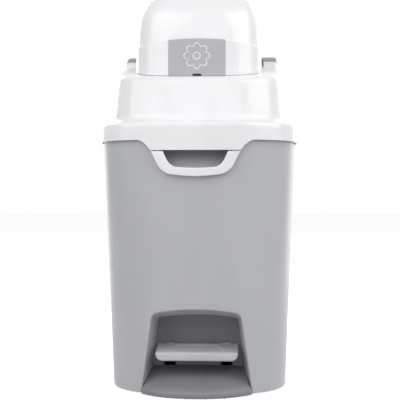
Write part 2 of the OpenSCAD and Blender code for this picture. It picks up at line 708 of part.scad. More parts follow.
module rod_head() color([0.3, 0.31, 0.33]) {
    low = guide_cup_low + cup_floor + gap;
    translate([0, rod_y, low]) difference() {
        union() {
            cylinder(h = head_top - head_cone - low, r = head_r - 0.5);
            translate([0, 0, head_top - head_cone - low])
                cylinder(h = head_cone, r1 = head_r - 0.5, r2 = head_pad_r);
        }
        translate([0, 0, -1]) cylinder(h = head_top - 5 - low + 1, r = rod_r);
    }
}

module rod_clip() color([0.2, 0.2, 0.21]) translate([0, rod_y, bracket_z + bracket_t + gap]) difference() {
    cylinder(h = 1.6, r = 5);
    translate([0, 0, -1]) cylinder(h = 4, r = rod_r);
}

// ---- top housing ----
apron_hw = handle_hw + 0.5;
// Region below the skirt that the apron leaves free on the right: an S-shaped edge from apron to skirt.
function apron_edge() = concat(
    [for (k = [0:8]) let (s = k / 8) [apron_hw + 19 * s, seam_z + (skirt_z - seam_z) * s * s * (3 - 2 * s)]],
    [[200, skirt_z], [200, seam_z - 5], [apron_hw, seam_z - 5]]);

module crown_prism(inset) {
    loft([ring(crown_a - inset, crown_b - inset, housing_square, notch_z - 30),
          ring(crown_a - inset, crown_b - inset, housing_square, hinge_z + 40)]);
}

module notch_space() {
    span([-notch_x, notch_y, notch_z], [notch_x, rim_b, hinge_z + 40]);
    span([-well_hw, well_y, notch_z], [well_hw, notch_y + 1, hinge_z + 40]);
}

module notch_walls() {
    w = housing_wall;
    span([-notch_x - w, notch_y - w, notch_z - EPS], [notch_x + w, rim_b, hinge_z + 40]);
    span([-well_hw - w, well_y - w, notch_z - EPS], [well_hw + w, notch_y + 1, hinge_z + 40]);
    span([-rim_a, well_y - w, notch_z - shelf_t], [rim_a, rim_b, notch_z]);
    translate([0, rod_y, guide_cup_low]) cylinder(h = notch_z - guide_cup_low, r = head_r + 2.5);
    span([-8, rod_y - 8, bracket_z], [8, rim_b, bracket_z + bracket_t]);
}

module top_housing() color([0.93, 0.932, 0.935]) {
    difference() {
        union() {
            difference() {
                loft(housing_rings(0, seam_z));
                difference() {
                    loft(housing_rings(-housing_wall, seam_z - 1));
                    notch_walls();
                }
            }
            x_rods(housing_knuckle[0], housing_knuckle[1], rim_hinge_y, rim_hinge_z, rim_hinge_r);
        }
        notch_space();
        loft([funnel_ring(40, funnel_wall + gap), funnel_ring(-6, funnel_wall + gap)]);
        both_sides() y_slab(apron_edge(), -200, -60);
        difference() {
            span([-200, -60 - EPS, seam_z - 5], [200, 200, skirt_z]);
            x_rods(housing_knuckle[0], housing_knuckle[1], rim_hinge_y, rim_hinge_z, rim_hinge_r);
        }
        for (k = bucket_knuckles)
            both_sides() span([k[0] - 0.4, rim_b - 12, seam_z],
                              [k[1] + 0.4, rim_b + 5, rim_hinge_z + rim_hinge_r + 0.4]);
        x_rods(25, 75, rim_hinge_y, rim_hinge_z, rim_pin_d / 2 + run);
        translate([0, rod_y, bracket_z - 5]) cylinder(h = hood_top_z, r = rod_r + slide);
        translate([0, rod_y, guide_cup_low + cup_floor]) cylinder(h = 60, r = head_r);
        for (p = bridge_screw_places)
            translate([p[0], p[1], notch_z - 10]) cylinder(h = 20, r = 1.6);
    }
    both_sides() handle_neck();
}

// Neck under the apron that carries one pivot of the handle.
module handle_neck() {
    y = handle_pin_y;
    difference() {
        union() {
            x_rod(neck[0], neck[1], y, handle_pin_z, 3.2);
            span([neck[0], y - 3, handle_pin_z], [neck[1], y + 3.2, skirt_z - 2]);
        }
        x_rod(neck[0] - 5, neck[1] + 5, y, handle_pin_z, handle_pin_d / 2 + run);
    }
}

module handle_pins() color([0.78, 0.79, 0.8])
    x_rods(leg_in + 0.5, pocket_hw - 2.5, handle_pin_y, handle_pin_z, handle_pin_d / 2);

module front_handle() color([0.94, 0.94, 0.945]) {
    y = handle_pin_y;
    top = seam_z - 2.6;
    difference() {
        union() {
            intersection() {
                difference() {
                    loft([rim_ring(handle_low - 5, 0, 0), rim_ring(seam_z, 0, 0)]);
                    loft([rim_ring(handle_low - 6, 0, -handle_t), rim_ring(seam_z + 1, 0, -handle_t)]);
                }
                difference() {
                    y_slab(bowl(handle_hw, handle_hw - 18, top, handle_low, 9), -170, -100);
                    y_slab(bowl(leg_in + 2, handle_hw - 29, top + 4, handle_low + grip_h, 6), -171, -99);
                }
            }
            x_rods(leg_in, pocket_hw - 2.2, y, handle_pin_z, handle_eye_r);
        }
        x_rods(neck[0] - gap, neck[1] + gap, y, handle_pin_z, 3.6);
        both_sides() span([neck[0] - gap, y - 12, handle_pin_z], [neck[1] + gap, y + 12, seam_z + 5]);
        x_rods(leg_in - 5, handle_hw + 5, y, handle_pin_z, handle_pin_d / 2 + run);
    }
}

// ---- inlet ----
module inlet_funnel() color([0.87, 0.874, 0.88]) {
    flange_r = collar_screw_r + 5;
    difference() {
        union() {
            loft([round_ring(throat_r + funnel_wall + 0.4, throat_top_z - 2),
                  funnel_ring(-funnel_top_t / 2, funnel_wall)]);
            loft([funnel_ring(0, 8), funnel_ring(-funnel_top_t, 7)]);
            translate([0, -inlet_y, throat_z])
                cylinder(h = throat_top_z - throat_z, r = throat_r + funnel_wall);
            translate([0, -inlet_y, collar_z + collar_t]) cylinder(h = 3, r = flange_r);
        }
        loft([round_ring(throat_r + 0.3, throat_top_z - 1), funnel_ring(-funnel_top_t - 1, 0)]);
        translate([0, -inlet_y, throat_z - 1]) cylinder(h = throat_top_z - throat_z + 1, r = throat_r);
        collar_holes(collar_z + collar_t, 3.5);
    }
}

// Four screw holes on the collar's pitch circle.
module collar_holes(z, h) {
    for (turn = [45:90:315])
        translate([0, -inlet_y, z - EPS]) rotate(turn)
            translate([collar_screw_r, 0, 0]) cylinder(h = h, r = 1.55);
}

module collar_screws() color([0.75, 0.76, 0.78])
    for (turn = [45:90:315])
        translate([0, -inlet_y, collar_z]) rotate(turn) translate([collar_screw_r, 0, 0]) screw(5.5);

ring_barrel_hw = 12;
flap_barrel = [8, 24];

module bag_collar() color([0.8, 0.805, 0.81]) {
    difference() {
        union() {
            translate([0, -inlet_y, collar_z]) cylinder(h = collar_t, r = collar_r);
            difference() {
                translate([0, -inlet_y, collar_low]) cylinder(h = collar_z - collar_low + 1, r = collar_r);
                translate([0, -inlet_y, collar_low - 1])
                    cylinder(h = collar_z - collar_low + 1, r = collar_r - lip_t);
            }
            both_sides() {
                span([flap_barrel[1] + 0.4, flap_hinge_y - 4, flap_hinge_z],
                     [flap_barrel[1] + 5, flap_hinge_y + 4, collar_z + 1]);
                x_rod(flap_barrel[1] + 0.4, flap_barrel[1] + 5, flap_hinge_y, flap_hinge_z, 4);
                span([ring_barrel_hw + 0.4, ring_hinge_y - 16, collar_z],
                     [ring_barrel_hw + 5, ring_hinge_y + 3.4, collar_z + collar_t]);
                span([ring_barrel_hw + 0.4, ring_hinge_y - 3.4, ring_hinge_z],
                     [ring_barrel_hw + 5, ring_hinge_y + 3.4, collar_z + 1]);
                x_rod(ring_barrel_hw + 0.4, ring_barrel_hw + 5, ring_hinge_y, ring_hinge_z, 3.4);
            }
        }
        translate([0, -inlet_y, collar_z - 1]) cylinder(h = 10, r = throat_r + funnel_wall + 0.2);
        collar_holes(collar_z, collar_t + 1);
        x_rod(-40, 40, flap_hinge_y, flap_hinge_z, flap_pin_d / 2 + run);
        x_rod(-40, 40, ring_hinge_y, ring_hinge_z, flap_pin_d / 2 + run);
    }
}

module flap_pin() color([0.78, 0.79, 0.8])
    x_rod(-flap_barrel[1] - 4.5, flap_barrel[1] + 4.5, flap_hinge_y, flap_hinge_z, flap_pin_d / 2);

module flap_spring() color([0.72, 0.73, 0.75])
    translate([-6, flap_hinge_y, flap_hinge_z]) rotate([0, 90, 0]) coil(flap_pin_d / 2 + 0.9, 1.2, 6, 12);

module ring_pin() color([0.78, 0.79, 0.8])
    x_rod(-ring_barrel_hw - 4.5, ring_barrel_hw + 4.5, ring_hinge_y, ring_hinge_z, flap_pin_d / 2);

module odour_flap() color([0.85, 0.855, 0.86]) {
    low = flap_top - flap_t;
    difference() {
        union() {
            translate([0, -inlet_y, low]) cylinder(h = flap_t, r = flap_r);
            x_rods(flap_barrel[0], flap_barrel[1], flap_hinge_y, flap_hinge_z, 3.2);
            both_sides() span([flap_barrel[0], -inlet_y + 0.86 * flap_r, low],
                              [flap_barrel[1], flap_hinge_y, flap_top - 0.3]);
        }
        x_rod(-40, 40, flap_hinge_y, flap_hinge_z, flap_pin_d / 2 + run);
        translate([0, -inlet_y, flap_top - 1]) cylinder(h = 3, r1 = throat_r - 8, r2 = throat_r - 4);
        translate([0, -inlet_y, low - 1]) difference() {
            cylinder(h = 2, r = flap_r - 6);
            for (turn = [0:45:135]) rotate(turn) span([-60, -0.8, -1], [60, 0.8, 4]);
        }
    }
}

module flap_seal() color([0.2, 0.2, 0.21]) translate([0, -inlet_y, flap_top]) difference() {
    cylinder(h = seal_t, r = flap_r - 0.3);
    translate([0, 0, -1]) cylinder(h = 4, r = throat_r - 1.5);
}

module bag_ring() color([0.35, 0.6, 0.72]) {
    difference() {
        union() {
            translate([0, -inlet_y, collar_low]) difference() {
                cylinder(h = ring_t, r = ring_in + ring_w);
                translate([0, 0, -1]) cylinder(h = ring_t + 2, r = ring_in);
            }
            x_rod(-ring_barrel_hw, ring_barrel_hw, ring_hinge_y, ring_hinge_z, 3);
            span([-ring_barrel_hw, -inlet_y + ring_in + 1, collar_low],
                 [ring_barrel_hw, ring_hinge_y, collar_low + 4]);
            span([-10, -inlet_y - ring_in - ring_w - 5, collar_low],
                 [10, -inlet_y - ring_in - 2, collar_low + 3]);
        }
        x_rod(-40, 40, ring_hinge_y, ring_hinge_z, flap_pin_d / 2 + run);
    }
}

module hood_seal() color([0.45, 0.455, 0.46]) difference() {
    loft([funnel_ring(-funnel_top_t, 6.5), funnel_ring(-funnel_top_t - 3, 5.8)]);
    loft([funnel_ring(-funnel_top_t + 1, 3.2), funnel_ring(-funnel_top_t - 4, 3.6)]);
}

bumper_hw = 6;
bumper_t = 2.2;
module front_bumper() color([0.08, 0.08, 0.09])
    x_slab([for (p = [[0, 0.02], [0, bumper_t], [3.6, bumper_t], [3.6, 0.02]])
            [hood_front_y - 0.3 + p[0], top_z(hood_front_y - 0.3 + p[0]) + p[1]]], -bumper_hw, bumper_hw);

// ---- hinge bridge at the back ----
// Side outline of a hinge cap, from the hinge's axis: reach behind it and height over it.
cap_profile = [[1, -14], [1, 10], [-10, 9.6], [-22, 7.6], [-34, 3.2], [-42, -3.4], [-46, -14]];
module hinge_bridge() color([0.68, 0.684, 0.7]) {
    side = notch_x - gap;
    cap_x = crown_a - 4;
    difference() {
        intersection() {
            union() {
                span([-side, notch_y + gap, notch_z], [side, rim_b, bridge_top]);
                span([-well_hw + gap, well_y + gap, notch_z], [well_hw - gap, notch_y + 1, bridge_top]);
                for (p = bridge_screw_places)
                    translate([p[0], p[1], notch_z]) cylinder(h = bridge_t + 4, r = 4);
                both_sides() {
                    x_rod(tower_x, side, hinge_y, hinge_z, tower_r);
                    span([tower_x, hinge_y - tower_r, notch_z], [side, hinge_y + tower_r, hinge_z]);
                    difference() {
                        union() {
                            x_rod(side - EPS, cap_x, hinge_y, hinge_z, tower_r);
                            x_slab([for (p = cap_profile) [hinge_y + p[0], hinge_z + p[1]]], side - EPS, cap_x);
                        }
                        loft([crown_ring(40, 0, 0.1), crown_ring(14, 0, 0.1), crown_ring(7, 1.3, 0.1),
                              crown_ring(2.8, 4.4, 0.1), crown_ring(0.6, 8.8, 0.1), crown_ring(-0.1, 13, 0.1)]);
                    }
                }
            }
            crown_prism(0.5);
        }
        x_rods(tower_x - 5, hood_pin_hw, hinge_y, hinge_z, hood_pin_d / 2 + run);
        translate([0, rod_y, 0]) cylinder(h = hood_top_z, r = head_r + 0.4);
        span([-crank_hw - 1, rod_y - 6, notch_z - 1], [crank_hw + 1, hinge_y + 8, bridge_top + 1]);
        for (p = bridge_screw_places) translate([p[0], p[1], notch_z - 1]) cylinder(h = bridge_t + 4, r = 1.5);
    }
}

hood_pin_hw = notch_x - 3;
module bridge_screws() color([0.75, 0.76, 0.78])
    for (p = bridge_screw_places) translate([p[0], p[1], notch_z - shelf_t]) screw(shelf_t + bridge_t + 2);

module hood_pin() color([0.78, 0.79, 0.8])
    x_rod(-hood_pin_hw + 0.5, hood_pin_hw - 0.5, hinge_y, hinge_z, hood_pin_d / 2);

// ---- hood ----
crank_screw_x = 10;
crank_screw_z = hinge_z + 7;
crank_plate_t = 2.6;
crank_plate_y = hood_rear_y - hood_wall - gap;    // rear face of the crank's plate, inside the hood
badge_in = badge_proud - badge_t;                 // inner face of the badge plate
module hood() color([0.945, 0.945, 0.95]) {
    inner_rear = hood_rear_y - hood_wall;
    difference() {
        union() {
            difference() {
                loft(hood_outer());
                loft(hood_inner());
            }
            x_rods(crank_hw + gap, barrel_hw, hinge_y, hinge_z, barrel_r);
            both_sides() span([crank_hw + gap, hood_rear_y - 2, hinge_z - 0.5],
                              [barrel_hw - 21.5, hinge_y, hinge_z + 4.5]);
        }
        difference() {
            span([-badge_w / 2 - 0.2, hood_front_y - 5, housing_front_z - 5],
                 [badge_w / 2 + 0.2, hood_front_y + 40, hood_crease_z + 0.2]);
            loft([hood_edge(badge_in - 0.1, 6), hood_band(hood_crease_z + 5, badge_in - 0.1)]);
        }
        bumper_notch();
        x_rods(0, hood_pin_hw, hinge_y, hinge_z, hood_pin_d / 2 + run);
        for (x = [-crank_screw_x, crank_screw_x])
            translate([x, inner_rear - 2, crank_screw_z]) rotate([-90, 0, 0]) cylinder(h = 4.2, r = 1.5);
    }
}

module bumper_notch()
    span([-bumper_hw - 0.6, hood_front_y - 6, housing_front_z - 4],
         [bumper_hw + 0.6, hood_front_y + 12, top_z(hood_front_y + 4) + bumper_t + gap]);

module badge_plate() color([0.715, 0.72, 0.735]) difference() {
    intersection() {
        loft([hood_edge(badge_proud), hood_band(hood_crease_z - 1.5, badge_proud),
              hood_band(hood_crease_z, badge_proud - band_step)]);
        span([-badge_w / 2, hood_front_y - 5, housing_front_z - 5],
             [badge_w / 2, hood_front_y + 40, hood_crease_z]);
    }
    loft([hood_edge(badge_in, 6), hood_band(hood_crease_z + 5, badge_in)]);
    bumper_notch();
}

// Point of the crank at rest: reach from the hinge towards the nose, and distance below that line.
function crank_point(reach, under) = let (u = hood_turn / 2)
    [hinge_y - reach * cos(u) + under * sin(u), hinge_z - reach * sin(u) - under * cos(u)];

module hood_crank() color([0.3, 0.31, 0.33]) {
    plate_y = crank_plate_y;
    low_y = plate_y - crank_plate_t;
    difference() {
        union() {
            x_rod(-crank_hw, crank_hw, hinge_y, hinge_z, barrel_r);
            x_rod(-crank_hw + 1, crank_hw - 1, crank_nose_y, crank_nose_z, crank_nose_r);
            x_slab([crank_point(0, 2.4), crank_point(0, -4),
                    crank_point(crank_r, -2.6), crank_point(crank_r, 1.7)],
                   -crank_hw + 1, crank_hw - 1);
            span([-crank_hw, low_y, hinge_z - 4.5], [crank_hw, hinge_y, hinge_z - 1.9]);
            span([-crank_hw, low_y, hinge_z - 4.5], [crank_hw, plate_y, hinge_z + 3]);
            span([-14, low_y, hinge_z + 1], [14, plate_y, hood_crease_z - 2]);
        }
        x_rod(-20, 20, hinge_y, hinge_z, hood_pin_d / 2 + run);
        for (x = [-crank_screw_x, crank_screw_x])
            translate([x, plate_y - 5, crank_screw_z]) rotate([-90, 0, 0]) cylinder(h = 8, r = 1.55);
    }
}

module crank_screws() color([0.75, 0.76, 0.78])
    for (x = [-crank_screw_x, crank_screw_x])
        translate([x, crank_plate_y - crank_plate_t - 0.1, crank_screw_z]) rotate([-90, 0, 0])
            screw(crank_plate_t + gap + 2);

bucket();
base_plate();
rubber_feet();
base_screws();
shaft_saddles();
pedal_shaft();
pedal_spring();
duct_cover();
duct_screws();
rim_hinge_pins();
pedal_plate();
pedal_lever();
shaft_bushes();
lower_rod();
rod_foot();
rod_cap();
top_housing();
inlet_funnel();
bag_collar();
collar_screws();
hood_seal();
front_bumper();
hinge_bridge();
bridge_screws();
hood_pin();
flap_pin();
flap_spring();
ring_pin();
handle_pins();
upper_rod();
rod_head();
rod_clip();
hood();
badge_plate();
hood_crank();
crank_screws();
odour_flap();
flap_seal();
bag_ring();
front_handle();
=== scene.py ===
# %% [markdown]
# # Dressing a pedal nappy bin
# The bin is packed already: forty plain pieces that fit, turn and slide. Here the mouldings that
# show get their true, smooth surfaces, and every piece gets a finish of its own. The packed frame
# stays where it is, and each new piece is laid in the same place, in the same metres.

# %% Load the frame
import json
import math

import bmesh
import bpy
import numpy as np
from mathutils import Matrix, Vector


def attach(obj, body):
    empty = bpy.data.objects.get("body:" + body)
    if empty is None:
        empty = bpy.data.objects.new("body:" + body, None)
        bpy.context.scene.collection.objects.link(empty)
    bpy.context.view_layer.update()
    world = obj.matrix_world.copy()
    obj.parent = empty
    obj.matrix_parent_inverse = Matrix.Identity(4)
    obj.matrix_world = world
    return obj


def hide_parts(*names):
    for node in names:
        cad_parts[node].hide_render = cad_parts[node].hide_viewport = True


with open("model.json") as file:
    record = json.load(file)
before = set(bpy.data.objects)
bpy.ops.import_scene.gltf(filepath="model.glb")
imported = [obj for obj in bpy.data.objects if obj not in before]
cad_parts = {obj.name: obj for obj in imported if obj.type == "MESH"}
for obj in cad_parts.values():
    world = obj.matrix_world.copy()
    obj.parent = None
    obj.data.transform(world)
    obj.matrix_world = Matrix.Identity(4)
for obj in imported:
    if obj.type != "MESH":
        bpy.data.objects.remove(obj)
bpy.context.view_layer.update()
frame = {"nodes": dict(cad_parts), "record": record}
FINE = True
MM = 0.001

# %% [markdown]
# ## The camera
# A bin shows best from low down and from a few paces off, through a long lens, so that its sides
# stay upright. The eye is level with the middle of the bin and a little to its right.

# %% Place the camera
EYE_HEIGHT = 0.287
EYE_DISTANCE = 1.640
EYE_TURN = math.radians(2.8)
LENS_MM = 94.1


def placed(name, data):
    """An object with that name and data, put into the scene."""
    made = bpy.data.objects.new(name, data)
    bpy.context.scene.collection.objects.link(made)
    return made


camera_data = bpy.data.cameras.new("camera")
camera_data.lens = LENS_MM
camera_data.sensor_width = 36.0
camera = placed("camera", camera_data)
camera.location = (EYE_DISTANCE * math.sin(EYE_TURN), -EYE_DISTANCE * math.cos(EYE_TURN), EYE_HEIGHT)
camera.rotation_euler = (math.radians(90), 0, EYE_TURN)
bpy.context.scene.camera = camera
bpy.context.scene.view_settings.view_transform = "Standard"
print("camera at", [round(v, 3) for v in camera.location])

# %% [markdown]
# ## Outlines
# Almost every moulding here is a rounded rectangle that changes with height. A superellipse gives
# it with three numbers: two half axes and a squareness. Points are spaced evenly along the curve,
# because a plain angle would crowd them in the corners and starve the flanks.

# %% Paths as arrays
AROUND, RECESS_AROUND, WALL_LEVELS, DOME_LEVELS = (320, 260, 60, 90) if FINE else (128, 120, 24, 40)


def mix(a, b, t):
    """The value at the share t of the way from a to b: a + (b - a) t."""
    return a + (b - a) * t


def signed_pow(v, p):
    """|v|^p with the sign of v."""
    return np.sign(v) * np.abs(v) ** p


def arch(x, a, b, n):
    """Height of a superellipse over x: b * (1 - |x / a|^n)^(1 / n)."""
    return b * (1 - np.minimum(1, np.abs(x) / a) ** n) ** (1 / n)


def run_of(points):
    """Length along a path up to each of its points."""
    return np.concatenate([[0], np.cumsum(np.linalg.norm(np.diff(points, axis=0), axis=1))])


def evenly(points, count, closed=False):
    """The same path with count points at equal steps of its length."""
    points = np.asarray(points, float)
    if closed:
        points = np.vstack([points, points[:1]])
    run = run_of(points)
    steps = np.linspace(0, run[-1], count, endpoint=not closed)
    return np.stack([np.interp(steps, run, column) for column in points.T], 1)


print("a wall is worked out at", WALL_LEVELS, "levels")

# %% [markdown]
# ### Round corners
# No moulded corner is sharp, because the steel of the tool is cut with a round cutter. A Bevel
# modifier could round them, but it stumbles over dense outlines, so the arcs are part of the
# outline. Most pieces are the same on both sides, so a half is worked out and then mirrored.

# %% Arcs and mirrored halves
def arc(cx, cy, r, first, last, count):
    """Points of a circle between two angles in degrees."""
    u = np.radians(np.linspace(first, last, count))
    return np.stack([cx + r * np.cos(u), cy + r * np.sin(u)], 1)


def quarter(r, first, last, count):
    """Steps of a rounded edge, as (r (1 - cos u), r (1 - sin u)) between two angles in degrees."""
    return r - arc(0, 0, r, first, last, count)


def mirrored(half, shared=0):
    """A right half and then its left half; shared is how many of its last points lie in the middle."""
    return np.vstack([half, half[::-1][shared:] * [-1, 1]])


def bowl_half(top_hw, low_hw, top, low, r, counts):
    """Right half of a bowl: leaning side, round corner and half the bottom, each with its count of points."""
    lean = math.atan((top_hw - low_hw) / (top - low))
    cx = low_hw + r * math.tan(lean) - r / math.cos(lean)
    corner = arc(cx, low + r, r, -math.degrees(lean), -90, counts[1] + 1)
    side = np.linspace([top_hw, top], corner[0], counts[0], endpoint=False)
    bottom = np.linspace(corner[-1], [0, low], counts[2])[1:]
    return np.vstack([side, corner, bottom])


print("a rounded edge of 5 mm starts at", quarter(5, 0, 90, 8)[0].round(3).tolist())

# %% [markdown]
# ### Rings and the curves between them
# One outline at one height is a ring, and it may lean, as the cover's top does. A skin could be
# modelled level by level. It is easier to change when a few rows of numbers stand for it and a
# curve that never overshoots runs through them.

# %% Rings
def ring(a, b, n, z, y0=0.0, slope=0.0, front=0.0, count=None):
    """Closed curve |x / a|^n + |(y - y0) / b|^n = 1, at the height z + slope * (y - front)."""
    t = np.linspace(0, 2 * np.pi, 4096, endpoint=False)
    flat = np.stack([a * signed_pow(np.cos(t), 2 / n), y0 + b * signed_pow(np.sin(t), 2 / n)], 1)
    flat = evenly(flat, count or AROUND, closed=True)
    return np.column_stack([flat, z + slope * (flat[:, 1] - front)])


def between(first, last, count):
    """Rings from the first to the last in equal steps."""
    return [first + (last - first) * t for t in np.linspace(0, 1, count)]


def flowing(rows, count):
    """Rows of numbers joined by a smooth curve that never overshoots: a monotone cubic along their chord."""
    rows = np.asarray(rows, float)
    chord = np.linalg.norm(np.diff(rows, axis=0), axis=1)
    s = np.concatenate([[0], np.cumsum(chord)])
    slope = np.diff(rows, axis=0) / chord[:, None]
    before, after = slope[:-1], slope[1:]
    same = before * after > 0
    tangent = np.zeros_like(rows)
    tangent[1:-1] = np.where(same, 2 * before * after / np.where(same, before + after, 1), 0)
    tangent[0], tangent[-1] = slope[0], slope[-1]
    t = np.unique(np.concatenate([np.linspace(0, s[-1], count), s]))
    k = np.clip(np.searchsorted(s, t, side="right") - 1, 0, len(chord) - 1)
    h = chord[k][:, None]
    u = ((t - s[k]) / chord[k])[:, None]
    return ((2 * u**3 - 3 * u**2 + 1) * rows[k] + (u**3 - 2 * u**2 + u) * h * tangent[k]
            + (3 * u**2 - 2 * u**3) * rows[k + 1] + (u**3 - u**2) * h * tangent[k + 1])


print("an outline has", len(ring(100, 80, 3, 0)), "points")

# %% [markdown]
# ## Solids from outlines
# A stack of outlines is a grid of points, so its faces follow from counting: each point joins its
# neighbour in the ring and the two above them. The first and the last ring are closed by one face
# each, which makes a solid of it that Booleans can take.

# %% Grids into meshes
def mesh_object(name, points, faces):
    """A mesh object from points in millimetres, with its faces turned outwards."""
    mesh = bpy.data.meshes.new(name)
    mesh.from_pydata((np.asarray(points) * MM).tolist(), [], faces)
    shape = bmesh.new()
    shape.from_mesh(mesh)
    bmesh.ops.recalc_face_normals(shape, faces=shape.faces)
    shape.to_mesh(mesh)
    shape.free()
    return placed(name, mesh)


def solid(rings, name="stock"):
    """Closed solid: quads between neighbouring rings, and one flat face on the first and the last."""
    rings = np.asarray(rings)
    levels, count = rings.shape[:2]
    i = np.arange(count)
    j = (i + 1) % count
    base = np.arange(levels - 1)[:, None] * count
    quads = np.stack([base + i, base + j, base + count + j, base + count + i], -1).reshape(-1, 4)
    faces = quads.tolist() + [i[::-1].tolist(), ((levels - 1) * count + i).tolist()]
    return mesh_object(name, rings.reshape(-1, 3), faces)


print("a millimetre is", MM, "in the mesh")

# %% [markdown]
# ### Cutting and joining
# Where one moulding is cut by another, such as a wall by the mouth of a recess, both are closed
# solids and the cut is a Boolean. The manifold solver takes dense closed meshes in a blink, so
# nothing has to be coarse. The modifiers are applied at once, and what they used is removed.

# %% Booleans
def boolean(base, how, *others):
    """base cut by, joined with or kept inside the other solids, which are used up."""
    for other in others:
        step = base.modifiers.new(how, "BOOLEAN")
        step.operation, step.solver, step.object = how, "MANIFOLD", other
    graph = bpy.context.evaluated_depsgraph_get()
    made = bpy.data.meshes.new_from_object(base.evaluated_get(graph))
    base.modifiers.clear()
    base.data = made
    for other in others:
        bpy.data.objects.remove(other)
    return base


def cut(base, *others):
    """base less the others."""
    return boolean(base, "DIFFERENCE", *others)


def join(base, *others):
    """base and the others as one solid."""
    return boolean(base, "UNION", *others)


def keep(base, *others):
    """What base shares with the others."""
    return boolean(base, "INTERSECT", *others)


print("ways to combine solids:", [way.__name__ for way in (cut, join, keep)])

# %% [markdown]
# ### Plain stock
# Holes, slots and bosses are boxes, cylinders and flat outlines carried along an axis. Blender has
# primitives for them, but those come with a place of their own. These are put where they belong
# at once, and what stands on the right is made on the left by the same call.

# %% Boxes, cylinders and carried outlines
def laid(outline, axis, place):
    """A flat outline laid at a place along an axis: 0 for X, 1 for Y and 2 for Z."""
    return np.insert(np.asarray(outline, float), axis, place, axis=1)


def along_x(outline, x0, x1):
    """Outline of (y, z) points carried from x0 to x1."""
    return solid([laid(outline, 0, x) for x in (x0, x1)])


def along_y(outline, y0, y1):
    """Outline of (x, z) points carried from y0 to y1."""
    return solid([laid(outline, 1, y) for y in (y0, y1)])


def along_z(outline, z0, z1):
    """Outline of (x, y) points carried from z0 to z1."""
    return solid([laid(outline, 2, z) for z in (z0, z1)])


def block(low, high):
    """Box between two corners."""
    (x0, y0, z0), (x1, y1, z1) = low, high
    return along_z([(x0, y0), (x1, y0), (x1, y1), (x0, y1)], z0, z1)


def across(hw, y0, y1, z0, z1):
    """Box across the middle, hw to the right and hw to the left."""
    return block((-hw, y0, z0), (hw, y1, z1))


def turned(centre, spans, axis="z", count=64):
    """Turned solid: each span is a place along the axis and the radius there."""
    t = np.linspace(0, 2 * np.pi, count, endpoint=False)
    cx, cy = centre
    rings = [np.stack([cx + r * np.cos(t), cy + r * np.sin(t), np.full(count, h)], 1) for h, r in spans]
    order = {"z": [0, 1, 2], "x": [2, 0, 1], "y": [0, 2, 1]}[axis]
    return solid(np.array(rings)[:, :, order])


def rod_x(x0, x1, y, z, r):
    """Cylinder along X; its centre is given in the YZ plane."""
    return turned((y, z), [(x0, r), (x1, r)], "x", 48)


def rod_y(x, z, y0, y1, r):
    """Cylinder along Y; its centre is given in the XZ plane."""
    return turned((x, z), [(y0, r), (y1, r)], "y")


def sides(x0, x1):
    """The span from x0 to x1 on the right, and its mirror image on the left."""
    return [(x0, x1), (-x1, -x0)]


def rods_x(x0, x1, y, z, r):
    """A cylinder along X on the right, and its mirror image on the left."""
    return [rod_x(*span, y, z, r) for span in sides(x0, x1)]


def pegs(places, low, high, r):
    """An upright cylinder at each place."""
    return [turned(place, [(low, r), (high, r)]) for place in places]


def both(make, *numbers):
    """The piece that make gives on the right, and the same on the left."""
    return [make(sign, *numbers) for sign in (1, -1)]


print("a span and its mirror image:", sides(10, 20))

# %% [markdown]
# ## Sizes
# These are the sizes of the packed parts in millimetres, written once more, since a scene can't
# read the parts' own file.

# %% Sizes of the bucket and of its top
FOOT_H, BUCKET_H, BUCKET_WALL, FLOOR_Z = 3.0, 394.0, 2.6, 86.0
BASE_A, BASE_B, BASE_N = 133.0, 118.0, 2.5
TOP_A, TOP_B, TOP_N = 147.5, 137.0, 3.0
SHAFT_Z, ARM_X, RECESS_BACK = 48.0, 43.0, 50.0
RECESS_TOP_HW, RECESS_BASE_HW, RECESS_LOW, RECESS_H = 66.0, 82.2, -12.0, 127.0
REAR_TOP_HW, REAR_BASE_HW, REAR_CORNER = RECESS_TOP_HW - 6, RECESS_BASE_HW - 10, 5.0
RECESS_CORNER, RECESS_ARCH, FLARE, RECESS_DROP = 12.0, 5.0, 3.0, 13.0
RIM_A, RIM_B = 151.5, 141.0
SKIRT_Z, SEAM_Z, HANDLE_HW, APRON_HW = 374.0, 358.0, 65.0, 65.5
HOUSING_WALL, FLANGE_W = 2.8, 20.0
WAIST_A, WAIST_B, CROWN_A, CROWN_B, HOUSING_N = 131.5, 121.0, 125.5, 115.0, 3.4
CROWN_Z, TOP_SLOPE, HOOD_FRONT_Y = 470.0, 0.22, -97.0
HINGE_Y, ROD_Y = 90.0, 77.0
HINGE_Z = CROWN_Z + TOP_SLOPE * (HINGE_Y - HOOD_FRONT_Y)
HINGE = (HINGE_Y, HINGE_Z)
RIM_HINGE_Z, KNUCKLE_R, PIN_HOLE_R, PLAY, GAP = 373.0, 3.5, 1.55, 0.4, 0.35
KNUCKLE_X, RIM_PIN_X = (32.0, 42.0, 58.0, 66.0), (25.0, 75.0)
ROD_HOLE_R, ROD_TOP = 2.8, 602.0
THREAD_R, BOSS_THREAD_R, PLATE_HOLE_R, BRIDGE_THREAD_R = 1.5, 1.75, 1.85, 1.6
BOSS_R, SMALL_BOSS_R = 4.5, 4.0
PLATE_TOP, COVE_R = 6.0, 5.0
BOSSES = [(106, 24), (-106, 24), (56, 92), (-56, 92)]


def bucket_axes(z):
    """Half axes and squareness of the bucket at the height z: all three grow in a straight line."""
    t = (z - FOOT_H) / (BUCKET_H - FOOT_H)
    return [mix(base, top, t) for base, top in ((BASE_A, TOP_A), (BASE_B, TOP_B), (BASE_N, TOP_N))]


def bucket_ring(z, grow=0.0):
    """The bucket's outline at the height z, moved outwards by grow."""
    a, b, n = bucket_axes(z)
    return ring(a + grow, b + grow, n, z)


def bucket_front(x, z):
    """The y of the bucket's front at x and z."""
    return -arch(x, *bucket_axes(z))


